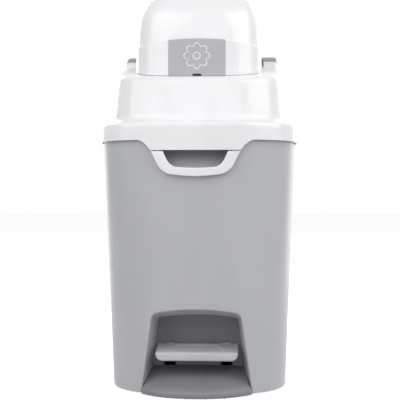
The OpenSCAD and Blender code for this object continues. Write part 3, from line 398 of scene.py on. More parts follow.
def bucket_b(z):
    """The bucket's half depth at the height z."""
    return bucket_axes(z)[1]


def round_rod(low, high, r):
    """Cylinder on the push rod's line."""
    return turned((0, ROD_Y), [(low, r), (high, r)])


def rim_pin_holes():
    """The two holes for the pins at the bucket's rear edge."""
    return rods_x(*RIM_PIN_X, *RIM_HINGE, PIN_HOLE_R)


RIM_HINGE = (bucket_b(RIM_HINGE_Z) + 2.5, RIM_HINGE_Z)
print("bucket: front at the floor", round(float(bucket_front(0.0, FOOT_H)), 1), "mm")

# %% [markdown]
# ## The bucket
# One deep moulding: a tapered wall, an inner floor over the pedal's works, a recess for the foot
# with a soft rounded mouth, a finger pocket behind the handle and a channel for the push rod. Each
# of those is worked out as a solid of its own first, because a solid can be cut out at its true
# size and once more, a wall thicker, out of the hollow inside.

# %% [markdown]
# ### The recess for the foot
# The mouth could be beveled after the cut. Instead its rounding is a quarter circle carried round
# the recess's outline along the bucket's curved front, so its highlight runs on without a break.

# %% The recess
def recess_outline(top_hw, base_hw, grow, round_r=RECESS_CORNER):
    """Outline of the recess in (x, z): leaning sides, round corners and a flat parabola as its top edge."""
    lean = (base_hw - top_hw) / RECESS_H
    cx, cz = top_hw - round_r, RECESS_H - RECESS_ARCH - round_r
    corner = arc(cx, cz, round_r + grow, math.degrees(math.atan(lean)), 84, 24)
    s = np.linspace(0.98, 0, 24)
    crest = np.stack([s * (cx + 1.2), RECESS_H + grow - RECESS_ARCH * s * s], 1)
    foot = [[base_hw + grow - lean * RECESS_LOW, RECESS_LOW]]
    return evenly(mirrored(np.vstack([foot, corner, crest]), shared=1), RECESS_AROUND)


def recess_ring(y, *numbers):
    """The recess's outline laid flat at one y."""
    return laid(recess_outline(*numbers), 1, y)


def mouth_ring(depth, grow):
    """The recess's outline laid a given depth behind the bucket's curved front."""
    flat = recess_outline(RECESS_TOP_HW, RECESS_BASE_HW, grow)
    return laid(flat, 1, bucket_front(*flat.T) + depth)


def recess(grow, back):
    """The recess as a solid: back wall, drafted sides, a ceiling that falls as the square of the way
    in from the mouth, a quarter-round edge of radius FLARE, and out of the front."""
    rear = recess_ring(-RECESS_BACK + back, REAR_TOP_HW, REAR_BASE_HW, grow, REAR_CORNER)
    rear[:, 2] -= RECESS_DROP * np.clip(rear[:, 2] / RECESS_H, 0, 1)
    throat = mouth_ring(FLARE + 2, grow)
    rings = [rear + (throat - rear) * [t, t, t * t] for t in np.linspace(0, 1, 16)]
    rings += [mouth_ring(deep, grow + out) for deep, out in quarter(FLARE, 90, 8, 14)]
    rings.append(mouth_ring(-0.5, grow + FLARE + 0.4))
    rings.append(recess_ring(-177, RECESS_TOP_HW, RECESS_BASE_HW, grow + FLARE))
    return solid(rings)


print("recess:", RECESS_H, "mm high and", 2 * RECESS_BASE_HW, "mm wide at its foot")

# %% [markdown]
# ### The finger pocket
# Four fingers reach in behind the handle. Seen from the front the pocket is a bowl and seen from
# the side a wedge, so it is what two carried outlines have in common.

# %% The finger pocket
POCKET_HW, POCKET_LOW_HW = HANDLE_HW - 4.8, 0.66 * (HANDLE_HW - 3)
POCKET_LOW, POCKET_KNEE = 328.0, 349.0
POCKET_DEPTH, POCKET_CORNER, POCKET_OUT, POCKET_IN, POCKET_SIDE = 26.2, 8.0, -170.0, -60.0, 74.0


def pocket(grow):
    """The finger pocket: a bowl-shaped opening with a sloping back, open at the top."""
    front, back = -bucket_b(SEAM_Z), -bucket_b(SEAM_Z) + POCKET_DEPTH + grow
    hw, low, top = POCKET_HW + grow, POCKET_LOW - grow, BUCKET_H + 2
    bowl = mirrored(bowl_half(hw, POCKET_LOW_HW + grow, POCKET_KNEE, low, POCKET_CORNER, (1, 13, 1)))
    upper = across(hw, POCKET_OUT, POCKET_IN, POCKET_KNEE - 0.01, top)
    mouth = join(along_y(bowl, POCKET_OUT, POCKET_IN), upper)
    side = [(front - 20, low), (front + 10 + grow, low), (back, SEAM_Z + 1), (back, top), (front - 20, top)]
    return keep(mouth, along_x(side, -POCKET_SIDE, POCKET_SIDE))


print("finger pocket:", POCKET_DEPTH, "mm deep")

# %% [markdown]
# ### Channel, slots and knuckles
# The push rod runs up a walled channel at the back. The lever's arms come out through two arched
# slots, and the hinge at the rim has knuckles with a gusset below them. All of them are plain
# stock, since nobody sees more of them than their edges.

# %% What serves the linkage and the hinge
CHANNEL_HW, CHANNEL_Y, WINDOW_HW, WINDOW_LOW, WINDOW_HIGH = 13.0, ROD_Y - 9, 11.0, 104.0, 356.0
DUCT_SCREWS = (WINDOW_LOW - 9, WINDOW_HIGH + 9)
RIM_FAR = RIM_B + 5


def channel():
    """Walls round the push rod, with a guide plate at both ends and bosses for the duct cover's screws."""
    out = CHANNEL_HW + BUCKET_WALL
    tube = cut(across(out, CHANNEL_Y - BUCKET_WALL, RIM_FAR, FLOOR_Z - 0.01, BUCKET_H + 2),
               across(CHANNEL_HW, CHANNEL_Y, RIM_FAR + 1, FLOOR_Z - 1, BUCKET_H + 3))
    guides = [across(CHANNEL_HW + 1, CHANNEL_Y - 1, RIM_FAR, z, z + 4)
              for z in (FLOOR_Z - 0.01, BUCKET_H - 20)]
    bosses = [rod_y(0, z, bucket_b(z) - 11, bucket_b(z) + 1, SMALL_BOSS_R) for z in DUCT_SCREWS]
    return join(tube, *guides, *bosses)


def lever_slot(sign, top=SHAFT_Z + 30, half=8.8, reach=6):
    """Arched slot for a lever arm in the recess's back wall."""
    x, low = sign * ARM_X, SHAFT_Z - 13
    outline = [(x - half, low), (x + half, low), *arc(x, top - half, half, 0, 180, 21)]
    return along_y(outline, -RECESS_BACK - reach, -RECESS_BACK + reach)


def bucket_knuckle(x0, x1):
    """Knuckle of the hinge at the rim, with a gusset that runs down the wall."""
    wall = -0.6 + float(arch(max(-x0, x1), *bucket_axes(RIM_HINGE_Z)[:2], TOP_N))
    nose = arc(*RIM_HINGE, KNUCKLE_R, 90, -20, 16)
    outline = [(wall - 0.3, RIM_HINGE_Z - 13), (wall - 1, RIM_HINGE_Z + KNUCKLE_R - 0.5), *nose]
    return along_x(outline, x0, x1)


print("channel:", 2 * CHANNEL_HW, "mm wide")

# %% [markdown]
# ### The whole bucket
# The outside is one stack of rings with a small rounding at the foot. The hollow is a second stack,
# less the recess, the pocket and the channel, so that those keep a wall round them.

# %% Shape the bucket
def bucket_shell():
    """Rings that grow in a straight line with the height, less the hollow and all the openings."""
    foot = [bucket_ring(FOOT_H + h, -g) for h, g in ((0, 1.6), (0.15, 1.0), (0.5, 0.45), (1.1, 0.1))]
    wall = [bucket_ring(z) for z in np.linspace(FOOT_H + 2, BUCKET_H - 0.8, WALL_LEVELS)]
    edge = [bucket_ring(BUCKET_H - 0.25, -0.15), bucket_ring(BUCKET_H, -0.6)]
    shell = solid(foot + wall + edge, "bucket_shell")
    cove = [bucket_ring(FLOOR_Z + up, -BUCKET_WALL - inset) for up, inset in quarter(COVE_R, 0, 90, 8)]
    inside = [bucket_ring(z, -BUCKET_WALL) for z in np.linspace(FLOOR_Z + COVE_R, BUCKET_H + 1, 24)[1:]]
    works = [bucket_ring(z, -BUCKET_WALL) for z in np.linspace(FOOT_H - 1, FLOOR_Z - BUCKET_WALL, 8)]
    hollow = cut(join(solid(cove + inside), solid(works)), recess(BUCKET_WALL, BUCKET_WALL),
                 pocket(BUCKET_WALL), channel(), *pegs(BOSSES, FOOT_H, FLOOR_Z, BOSS_R))
    shell = cut(shell, hollow, recess(0, 0), pocket(0),
                solid([bucket_ring(z, PLAY - BUCKET_WALL) for z in (FOOT_H - 1, PLATE_TOP + GAP)]),
                *both(lever_slot), round_rod(FLOOR_Z - 5, BUCKET_H + 20, ROD_HOLE_R),
                across(WINDOW_HW, bucket_b(FLOOR_Z) - 12, RIM_FAR, WINDOW_LOW, WINDOW_HIGH),
                *[rod_y(0, z, bucket_b(z) - 9, bucket_b(z) + 5, THREAD_R) for z in DUCT_SCREWS],
                *pegs(BOSSES, FOOT_H - 1, FOOT_H + 16, BOSS_THREAD_R),
                *rods_x(*KNUCKLE_X[1:3], *RIM_HINGE, KNUCKLE_R + PLAY))
    knuckles = [bucket_knuckle(*span) for ends in (KNUCKLE_X[:2], KNUCKLE_X[2:]) for span in sides(*ends)]
    return cut(join(shell, *knuckles), *rim_pin_holes())


bucket = bucket_shell()
print("bucket:", len(bucket.data.polygons), "faces")

# %% [markdown]
# ## The base moulding
# The floor of the recess slopes down to a lip that bulges past the bucket, as a doorstep for the
# toe. The lip is a stack of bowed outlines with a rolled front. Straight lines run from its top up
# to the recess's back wall, where a panel with two arched slots lets the lever's arms through.

# %% Shape the base moulding
LIP_FRONT, LIP_TOP, LIP_INSET, TOE_WALL = 143.0, 14.8, 9.5, 2.6
TOE_HW, TOE_BACK_HW, TOE_GAP = RECESS_BASE_HW, RECESS_BASE_HW - 9, 0.8
TOE_BACK_Y, TOE_BACK_Z, SLOT_TOP = -RECESS_BACK - GAP, 37.0, SHAFT_Z + 25.4
SADDLE_SCREWS = [(x, y) for x in (-58, 58) for y in (-6, 6)]
PANEL_LOW, RIB_HW, RIBS_X = 26.0, 1.0, (-42, -14, 14, 42)


def toe_ring(z, inset, back=0.0, back_z=0.0):
    """Outline of the toe plate: the bucket's front plus a bulge of (1 - (x / half width)^2)^0.8, closed by a
    straight back. The number back, from 0 to 1, moves it that share of the way to the plate's back edge."""
    x = (TOE_HW - 0.5 * inset) * np.sin(np.radians(np.linspace(-90, 90, 121)))
    bulge = (LIP_FRONT - BASE_B) * np.maximum(0, 1 - (x / TOE_HW) ** 2) ** 0.8
    front = np.stack([x * mix(1, TOE_BACK_HW / TOE_HW, back),
                      mix(bucket_front(x, FOOT_H) - bulge + inset, TOE_BACK_Y, back)], 1)
    rear = TOE_BACK_HW - inset / 2
    return laid([*front, (rear, TOE_BACK_Y), (-rear, TOE_BACK_Y)], 2, mix(z, back_z, back))


def toe_solid(shrink):
    """The rolled lip, then a ruled slope up to the straight back edge; shrink gives the hollow below."""
    rows = [(0.5, 4.4), (2, 1.7), (4.4, 0.3), (6.8, 0.3), (10, 2.0), (12.6, 5.2), (LIP_TOP, LIP_INSET)]
    drop, start = 1.6 * shrink, LIP_INSET + shrink
    lip = [toe_ring(z - drop, inset + shrink) for z, inset in flowing(rows, 30)]
    slope = [toe_ring(LIP_TOP - drop, start, t, TOE_BACK_Z - drop) for t in np.linspace(0.03, 0.985, 24)]
    return solid(lip + slope)


def base_moulding():
    """A flat plate in the bucket's foot, the toe lip on it and the panel behind the pedal."""
    plate = solid([bucket_ring(z, -BUCKET_WALL - GAP) for z in (FOOT_H, PLATE_TOP)], "base_moulding")
    panel = keep(recess(-GAP, GAP), across(90, -RECESS_BACK - 2, -RECESS_BACK + 1, PANEL_LOW, 130))
    plate = join(plate, keep(toe_solid(0), recess(-TOE_GAP, GAP)), cut(panel, *both(lever_slot, SLOT_TOP)))
    ribs = [block((x - RIB_HW, -150, -5), (x + RIB_HW, 0, 60)) for x in RIBS_X]
    hollow = cut(toe_solid(TOE_WALL), across(150, TOE_BACK_Y - 3, 0, -5, 60), *ribs)
    return cut(plate, hollow, *pegs(BOSSES + SADDLE_SCREWS, 0, 12, PLATE_HOLE_R))


base = base_moulding()
print("base moulding:", len(base.data.polygons), "faces")

# %% [markdown]
# ## The cover
# The white top is one skin: a straight rim, a flange that turns up in a hollow fillet, a waist and
# a top that leans forward. Its rows of half axes, squareness and height are joined by a monotone
# cubic, which leaves the straight rim straight and makes the fillet flow. The apron over the
# handle, the bay for the hinge and the mouth of the funnel are cut out of it afterwards.

# %% The cover's skin
NOTCH_X, NOTCH_Y, NOTCH_Z = 100.0, 79.5, HINGE_Z - 14
APRON_Z = SEAM_Z + 1.0
WELL_HW, WELL_Y, SHELF_T = 12.0, ROD_Y - 9, 3.5
CUP_LOW, BRACKET_Z, BRACKET_HW, HEAD_R = NOTCH_Z - 23, BUCKET_H + 12, 8.0, 6.0
FUNNEL_A, FUNNEL_B, FUNNEL_Y0, FUNNEL_WALL = 76.0, 69.0, -16.0, 2.4
NECK, NECK_R, APRON_FLARE = (53.0, 59.0), 3.2, 21.0
HANDLE_PIN_Y = -float(arch(56.0, RIM_A, RIM_B, TOP_N)) + 4.6
HANDLE_PIN_Z = SEAM_Z - 4.6
BRIDGE_SCREWS = [(92, HINGE_Y), (-92, HINGE_Y), (50, 104), (-50, 104)]
TOWER_R, CAP_T, CAP_Y = 10.0, 5.0, HINGE_Y - 40.5
BRIDGE_SIDE, CAP_X, CAP_EASE = NOTCH_X - GAP, CROWN_A - 4, 3.4
BELOW, ABOVE, FAR, APRON_BACK = 400.0, 560.0, 200.0, -60.0


def tilted_ring(a, b, n, z, slope, y0=0.0):
    """Ring whose height rises with y, measured from the hood's front edge."""
    return ring(a, b, n, z, y0, slope, HOOD_FRONT_Y)


def cover_rings(grow, low):
    """The cover's skin from its lower edge up to its top; a negative grow gives the inner face."""
    def rim(height, inset, n=TOP_N):
        return [RIM_A - inset + grow, RIM_B - inset + grow, n, BUCKET_H + height + grow, 0]

    def crown(drop, inset):
        return [CROWN_A - inset + grow, CROWN_B - inset + grow, HOUSING_N, CROWN_Z - drop + grow, TOP_SLOPE]

    edge = [RIM_A + grow, RIM_B + grow, TOP_N, BUCKET_H + 1.5, 0]
    shoulder = rim(4.5, 1.2)
    shoulder[3] -= grow / 2
    rows = flowing([edge, shoulder, rim(6, 4), rim(8, 0.5 * FLANGE_W, 3.1), rim(11, 0.8 * FLANGE_W, 3.2),
                    rim(17, 0.98 * FLANGE_W, 3.3),
                    [WAIST_A - 1 + grow, WAIST_B - 1 + grow, HOUSING_N, BUCKET_H + 26 + grow, 0],
                    crown(14, 0), crown(7, 1.3), crown(2.8, 4.4), crown(0.7, 8.8), crown(0, 13)], 64)
    skirt = [[edge[0], edge[1], TOP_N, z, 0] for z in np.linspace(low, edge[3], 12)[:-1]]
    return [tilted_ring(*row) for row in [*skirt, *rows]]


def funnel_ring(drop, grow):
    """Outline of the funnel's mouth, laid drop below the cover's leaning top."""
    return tilted_ring(FUNNEL_A + grow, FUNNEL_B + grow, 3.2, CROWN_Z - drop, TOP_SLOPE, FUNNEL_Y0)


print("cover's skin:", len(cover_rings(0, APRON_Z)), "rings")

# %% [markdown]
# ### The apron and its necks
# In front the rim hangs down as an apron, which hides the handle's pivots. It could be a piece
# added below the rim. Cutting the rim away beside it keeps its face one with the rim's.

# %% The apron
def apron_side(sign):
    """What is cut away below the rim beside the apron: its side rises as s(2 - s), steep at the handle
    and level where it meets the rim's edge."""
    s = np.linspace(0, 1, 30)
    curve = np.stack([sign * (APRON_HW + APRON_FLARE * s), mix(APRON_Z, SKIRT_Z, s * (2 - s))], 1)
    rest = [[sign * FAR, SKIRT_Z], [sign * FAR, SEAM_Z - 5], [sign * APRON_HW, SEAM_Z - 5]]
    return along_y(np.vstack([curve, rest]), -FAR, APRON_BACK)


def handle_neck(x0, x1):
    """Neck under the apron that carries one pivot of the handle."""
    y, z, top = HANDLE_PIN_Y, HANDLE_PIN_Z, SKIRT_Z - 2
    neck = join(rod_x(x0, x1, y, z, NECK_R), block((x0, y - 1, z), (x1, y + NECK_R, top)),
                block((x0, y - 3, APRON_Z + 2), (x1, y, top)))
    return cut(neck, rod_x(x0 - 5, x1 + 5, y, z, PIN_HOLE_R))


print("handle's pivots at", round(HANDLE_PIN_Y, 1), round(HANDLE_PIN_Z, 1))

# %% [markdown]
# ### The humps beside the hinge
# A white hump on each side of the hinge's bay carries the hinge's grey cap. Both have one side
# view, the cap a skin thicker than the hump, so that the seam between them is even.

# %% The humps
def cap_outline(inset):
    """Side view of a cap round the hinge's axis: a long nose to the front and a round back."""
    nose = flowing([[-46, -14], [-42, -3.4], [-34, 3.2], [-22, 7.6], [-10, 9.6], [0, 10]], 40)
    path = np.vstack([nose, arc(0, 0, TOWER_R, 85, -65, 24), [[1, -14]]])
    along = np.gradient(path, axis=0)
    along /= np.linalg.norm(along, axis=1)[:, None]
    return path + inset * np.stack([along[:, 1], -along[:, 0]], 1) + HINGE


def cap_solid(sign, inset):
    """The cap's side view carried outwards and drawn in by a quarter circle at its end; inset shrinks it."""
    stations = [(BRIDGE_SIDE - 0.01, 0.0), (CAP_X - CAP_EASE, 0.0)]
    stations += [(CAP_X - short, drawn) for drawn, short in quarter(CAP_EASE, 10, 88, 9)]
    return solid([laid(cap_outline(inset + drawn), 0, sign * x) for x, drawn in stations])


def cheek(sign):
    """The white hump of the cover: all of the cap's nose, and what the grey cap lies on behind it."""
    x0, x1 = sorted((sign * (NOTCH_X + 0.2), sign * 130))
    nose = keep(cap_solid(sign, 0), block((x0, 0, NOTCH_Z - 6), (x1, CAP_Y, ABOVE)))
    return join(nose, keep(cap_solid(sign, CAP_T + GAP), block((x0, 0, NOTCH_Z - 6), (x1, 130, ABOVE))))


print("a cap's side view has", len(cap_outline(0)), "points")

# %% [markdown]
# ### The whole cover
# The walls that the packed cover has inside, round the hinge's bay and the push rod, stay in place
# when the hollow is cut out, and only then come the openings.

# %% Shape the cover
def cover_barrels():
    """The cover's share of the hinge at the rim: a barrel between the bucket's two knuckles on each side."""
    return rods_x(KNUCKLE_X[1] + PLAY, KNUCKLE_X[2] - PLAY, *RIM_HINGE, KNUCKLE_R)


def cover_moulding():
    """The skin less its hollow, with barrels, necks and humps, and with all its openings."""
    w, top = HOUSING_WALL, HINGE_Z + 40
    walls = [across(NOTCH_X + w, NOTCH_Y - w, RIM_B, NOTCH_Z - 0.01, top),
             across(WELL_HW + w, WELL_Y - w, NOTCH_Y + 1, NOTCH_Z - 0.01, top),
             across(RIM_A, WELL_Y - w, RIM_B, NOTCH_Z - SHELF_T, NOTCH_Z),
             round_rod(CUP_LOW, NOTCH_Z, HEAD_R + 2.5),
             across(BRACKET_HW, ROD_Y - BRACKET_HW, RIM_B, BRACKET_Z, BRACKET_Z + 3)]
    shell = cut(solid(cover_rings(0, APRON_Z), "cover_moulding"),
                cut(solid(cover_rings(-w, SEAM_Z - 1)), *walls))
    skirt = cut(across(FAR, APRON_BACK - 0.01, FAR, SEAM_Z - 5, SKIRT_Z), *cover_barrels())
    gaps = [block((left, RIM_B - 12, SEAM_Z), (right, RIM_FAR, RIM_HINGE_Z + KNUCKLE_R + PLAY))
            for x0, x1 in (KNUCKLE_X[:2], KNUCKLE_X[2:]) for left, right in sides(x0 - PLAY, x1 + PLAY)]
    shell = cut(join(shell, *cover_barrels()), across(NOTCH_X, NOTCH_Y, RIM_B + 1, NOTCH_Z, top),
                across(WELL_HW, WELL_Y, NOTCH_Y + 1, NOTCH_Z, top),
                solid([funnel_ring(40, FUNNEL_WALL + GAP), funnel_ring(-6, FUNNEL_WALL + GAP)]),
                *both(apron_side), skirt, *gaps, *rim_pin_holes(),
                round_rod(BRACKET_Z - 5, ROD_TOP, ROD_HOLE_R), round_rod(CUP_LOW + 4, CUP_LOW + 64, HEAD_R),
                *pegs(BRIDGE_SCREWS, NOTCH_Z - 10, NOTCH_Z + 10, BRIDGE_THREAD_R))
    return join(shell, *[handle_neck(*span) for span in sides(*NECK)], *both(cheek))


cover = cover_moulding()
print("cover:", len(cover.data.polygons), "faces")

# %% [markdown]
# ## The hood
# A helmet over the inlet. Seen from the side each half of it is a superellipse, so the height f
# from 0 to 1 gives the half axes as (1 - f^p)^(1/p). The levels are spaced evenly along that
# profile, or the flat crown would be left with too few. The band round its foot stands a
# millimetre proud. Its rounded upper edge is an arch, highest in the middle of the front.

# %% The hood's skin
HOOD_A, HOOD_B, HOOD_Y0, HOOD_MID, HOOD_TOP = 96.5, 89.5, -7.5, 500.0, 602.0
HOOD_N, DOME_N, CREASE_Z, CREASE_ARCH = 3.5, 2.7, 525.8, 9.0
HOOD_WALL, BAND_STEP, BADGE_HW, BADGE_T, BADGE_PROUD = 3.0, 1.2, 42.0, 2.0, 0.8
BARREL_HW, BARREL_R, CRANK_HW, HOOD_PIN_HOLE_R = 83.5, 6.0, 6.35, 2.55
BUMPER_HW, BUMPER_T, WEB_HW, WEB_Y = 6.0, 2.2, 62.0, 80.0


def hood_edge(grow, lift=0.0):
    """Ring on the cover's leaning top, a hair above it."""
    return tilted_ring(HOOD_A + grow, HOOD_B + grow, HOOD_N, CROWN_Z + GAP + lift, TOP_SLOPE, HOOD_Y0)


def hood_band(z, grow):
    """Ring of the band, lower at the sides than in front: z - CREASE_ARCH * (x / HOOD_A)^2."""
    level = ring(HOOD_A + grow, HOOD_B + grow, HOOD_N, z, HOOD_Y0)
    level[:, 2] -= CREASE_ARCH * (level[:, 0] / HOOD_A) ** 2
    return level


def dome_axes(f):
    """Half axes of the dome at the share f of its height."""
    return [half * (1 - f**p) ** (1 / p) for half, p in ((HOOD_A, 4.5), (HOOD_B, 3))]


def hood_dome(f, grow):
    """Ring of the dome at the share f of its height; the band's arch fades out up to two thirds of it."""
    a, b = dome_axes(f)
    z = HOOD_MID + (HOOD_TOP - HOOD_MID + grow + BAND_STEP) * f
    level = ring(a + grow, b + grow, mix(HOOD_N, DOME_N, f), z, HOOD_Y0)
    t = np.clip((f - 0.22) / 0.45, 0, 1)
    level[:, 2] -= (1 - t * t * (3 - 2 * t)) * CREASE_ARCH * (level[:, 0] / HOOD_A) ** 2
    return level


def dome_levels(first, count):
    """Shares of the height that are evenly spaced along the front's profile."""
    f = 1 - (1 - first) * (1 - np.linspace(0, 1, 3000)) ** 3
    a, b = dome_axes(f)
    run = run_of(np.stack([b, (HOOD_TOP - HOOD_MID) * f, 0.5 * a], 1))
    return np.interp(np.linspace(0, run[-1], count), run, f)[:-1]


def hood_skin(grow, drop, step):
    """Rings from the hood's foot to its crown: band, step and dome, all moved inwards by -grow."""
    band = between(hood_edge(grow, -drop), hood_band(CREASE_Z - 2, grow), 16)
    edge = [hood_band(CREASE_Z - 1 + up, grow - inset * step)
            for up, inset in ((0, 0.06), (0.5, 0.25), (0.85, 0.55), (1, 0.9))]
    first = (CREASE_Z + 0.4 - HOOD_MID) / (HOOD_TOP - HOOD_MID)
    return band + edge + [hood_dome(f, grow - step) for f in dome_levels(first, DOME_LEVELS)]


print("dome:", len(dome_levels(0.25, DOME_LEVELS)), "levels")

# %% [markdown]
# ### The whole hood
# The grey badge plate is let into the band, and a small notch at its lower edge makes room for
# the bumper. The inner skin is the outer one moved in by the wall, and two barrels with webs
# hold the hinge pin at the back.

# %% Shape the hood
def band_core(grow):
    """All that lies inside the band's face moved outwards by grow."""
    return solid([hood_edge(grow, -6), hood_band(CREASE_Z + 5, grow)])


def badge_bay(depth, clear):
    """Room in the band for the badge plate: its outline, less everything deeper than depth."""
    front = across(BADGE_HW + clear, HOOD_FRONT_Y - 5, HOOD_FRONT_Y + 40, CROWN_Z - 5, CREASE_Z + 6)
    band = solid([hood_edge(2, -6), hood_band(CREASE_Z + clear, 2)])
    return cut(keep(front, band), band_core(-depth))


def bumper_notch():
    """Room for the front bumper, on which the shut hood rests."""
    top = CROWN_Z + TOP_SLOPE * 4 + BUMPER_T + GAP
    return across(BUMPER_HW + 0.6, HOOD_FRONT_Y - 6, HOOD_FRONT_Y + 12, CROWN_Z - 4, top)


def hood_shell():
    """The outer skin less the inner one, with barrels and webs, less the room for badge, bumper and pin."""
    rings = hood_skin(0, 0, BAND_STEP)
    rings[0] = hood_edge(-0.7)
    rings[1:1] = [hood_edge(-0.25, 0.2), hood_edge(-0.05, 0.5), hood_edge(0, 0.9)]
    shell = cut(solid(rings, "hood_shell"), solid(hood_skin(-HOOD_WALL, 1, BAND_STEP)))
    barrels = rods_x(CRANK_HW, BARREL_HW, *HINGE, BARREL_R)
    webs = [block((x0, WEB_Y, HINGE_Z - 0.5), (x1, HINGE_Y, HINGE_Z + 4.5))
            for x0, x1 in sides(CRANK_HW, WEB_HW)]
    return cut(join(shell, *barrels, *webs), badge_bay(BADGE_T - BADGE_PROUD + 0.1, 0.25), bumper_notch(),
               rod_x(-90, 90, *HINGE, HOOD_PIN_HOLE_R),
               *[rod_y(x, HINGE_Z + 7, 77, 81.2, THREAD_R) for x in (-10, 10)])


hood = hood_shell()
print("hood:", len(hood.data.polygons), "faces")

# %% [markdown]
# ## The badge plate
# A separate grey panel let into the band. Its face keeps the band's curve, 0.8 mm proud, and its
# edges are eased, which is what makes it read as a part of its own.

# %% Shape the badge plate
BADGE_EASE = 0.9


def badge_plate():
    """The band's face moved outwards, kept within the badge's plan and cut to its thickness."""
    rings = [hood_edge(BADGE_PROUD - 0.5, 0), hood_edge(BADGE_PROUD - 0.15, 0.12)]
    rings += between(hood_edge(BADGE_PROUD, 0.4), hood_band(CREASE_Z - 1.1, BADGE_PROUD), 14)
    rings += [hood_band(CREASE_Z - 1 + up, BADGE_PROUD - inset)
              for up, inset in ((0.35, 0.08), (0.7, 0.3), (0.95, 0.7), (1.0, 1.0))]
    y = HOOD_Y0 - float(arch(BADGE_HW, HOOD_A + BADGE_PROUD, HOOD_B + BADGE_PROUD, HOOD_N))
    ease = [BADGE_HW, y] + quarter(BADGE_EASE, 0, 80, 8) * [-1, 1]
    plan = mirrored(np.vstack([[[BADGE_HW, y + 40]], ease, [[BADGE_HW - 8, y - 6]]]))
    plate = keep(solid(rings, "badge_face"), along_z(plan, CROWN_Z - 5, CREASE_Z + 3))
    return cut(plate, band_core(BADGE_PROUD - BADGE_T), bumper_notch())


badge = badge_plate()
print("badge plate:", len(badge.data.polygons), "faces")

# %% [markdown]
# ## The hinge bridge
# Behind the hood a grey moulding carries the hinge pin. Its two ends show beside the hood as
# smooth caps on the cover's white humps, so those are a profile carried along X, drawn in towards
# their outer end by a quarter circle.

# %% Shape the hinge bridge
BRIDGE_TOP = NOTCH_Z + 3.0


def hinge_cap(sign):
    """One grey cap: a skin CAP_T thick over the cover's hump, but solid inside the hinge's bay. Outside the
    bay it ends where the hump's nose begins."""
    crown = [tilted_ring(CROWN_A - inset + 0.1, CROWN_B - inset + 0.1, HOUSING_N, CROWN_Z - drop, TOP_SLOPE)
             for drop, inset in ((40, 0), (14, 0), (7, 1.3), (2.8, 4.4), (0.6, 8.8), (-0.1, 13))]
    bay = (NOTCH_X + 0.1, 0, 140, BELOW, ABOVE)
    cap = cut(cap_solid(sign, 0), solid(crown), cut(cap_solid(sign, CAP_T), across(*bay)))
    return cut(cap, cut(across(140, 0, CAP_Y + GAP, BELOW, ABOVE), across(*bay)))


def hinge_bridge():
    """A flat plate with bosses and towers and a cap at each end, drilled for pin, rod and screws."""
    bridge = across(BRIDGE_SIDE, NOTCH_Y + GAP, RIM_B, NOTCH_Z, BRIDGE_TOP)
    bridge.name = "hinge_bridge_moulding"
    foot = across(WELL_HW - GAP, WELL_Y + GAP, NOTCH_Y + 1, NOTCH_Z, BRIDGE_TOP)
    boss = [(NOTCH_Z, SMALL_BOSS_R), (BRIDGE_TOP + 3.2, SMALL_BOSS_R), (BRIDGE_TOP + 4, SMALL_BOSS_R - 0.8)]
    towers = []
    for x0, x1 in sides(BARREL_HW + 0.5, BRIDGE_SIDE):
        towers += [rod_x(x0, x1, *HINGE, TOWER_R),
                   block((x0, HINGE_Y - TOWER_R, NOTCH_Z), (x1, HINGE_Y + TOWER_R, HINGE_Z))]
    bridge = join(bridge, foot, *[turned(p, boss) for p in BRIDGE_SCREWS], *towers, *both(hinge_cap))
    inside = [ring(CROWN_A - 0.5, CROWN_B - 0.5, HOUSING_N, z) for z in (NOTCH_Z - 30, HINGE_Z + 40)]
    return cut(keep(bridge, solid(inside)), rod_x(-97, 97, *HINGE, HOOD_PIN_HOLE_R),
               round_rod(BELOW, ROD_TOP, HEAD_R + PLAY),
               across(7, ROD_Y - HEAD_R, HINGE_Y + 8, NOTCH_Z - 1, BRIDGE_TOP + 1),
               *pegs(BRIDGE_SCREWS, NOTCH_Z - 1, BRIDGE_TOP + 2, THREAD_R))


bridge = hinge_bridge()
print("hinge bridge:", len(bridge.data.polygons), "faces")

# %% [markdown]
# ## The handle
# A U hangs under the apron and follows the rim's curve. It is a rounded rectangle carried along
# the U: at each step one outline gives its outer side and another its inner side, and the section
# is drawn between them.

# %% Shape the handle
HANDLE_TOP, HANDLE_LOW, HANDLE_SAG, SAG_HW = 357.6, 324.6, 3.6, 52.0
HANDLE_EASE, HANDLE_DEEP, HANDLE_PIVOT_R, HANDLE_IN_HW = 1.7, 4.5, 2.8, 47.0


def handle_u():
    """The U's outer and inner outline, each sagging most in the middle of its lower edge."""
    counts = (16, 16, 24)
    outer = bowl_half(HANDLE_HW, 48.3, HANDLE_TOP, HANDLE_LOW, 24, counts)
    inner = bowl_half(HANDLE_IN_HW, 36.9, HANDLE_TOP, HANDLE_LOW + 11.2, 17, counts)
    for path in (outer, inner):
        share = (HANDLE_TOP - path[:, 1]) / (HANDLE_TOP - HANDLE_LOW)
        path[:, 1] -= HANDLE_SAG * share * np.clip(1 - (path[:, 0] / SAG_HW) ** 2, 0, 1) ** 2
    return mirrored(outer, 1), mirrored(inner, 1)


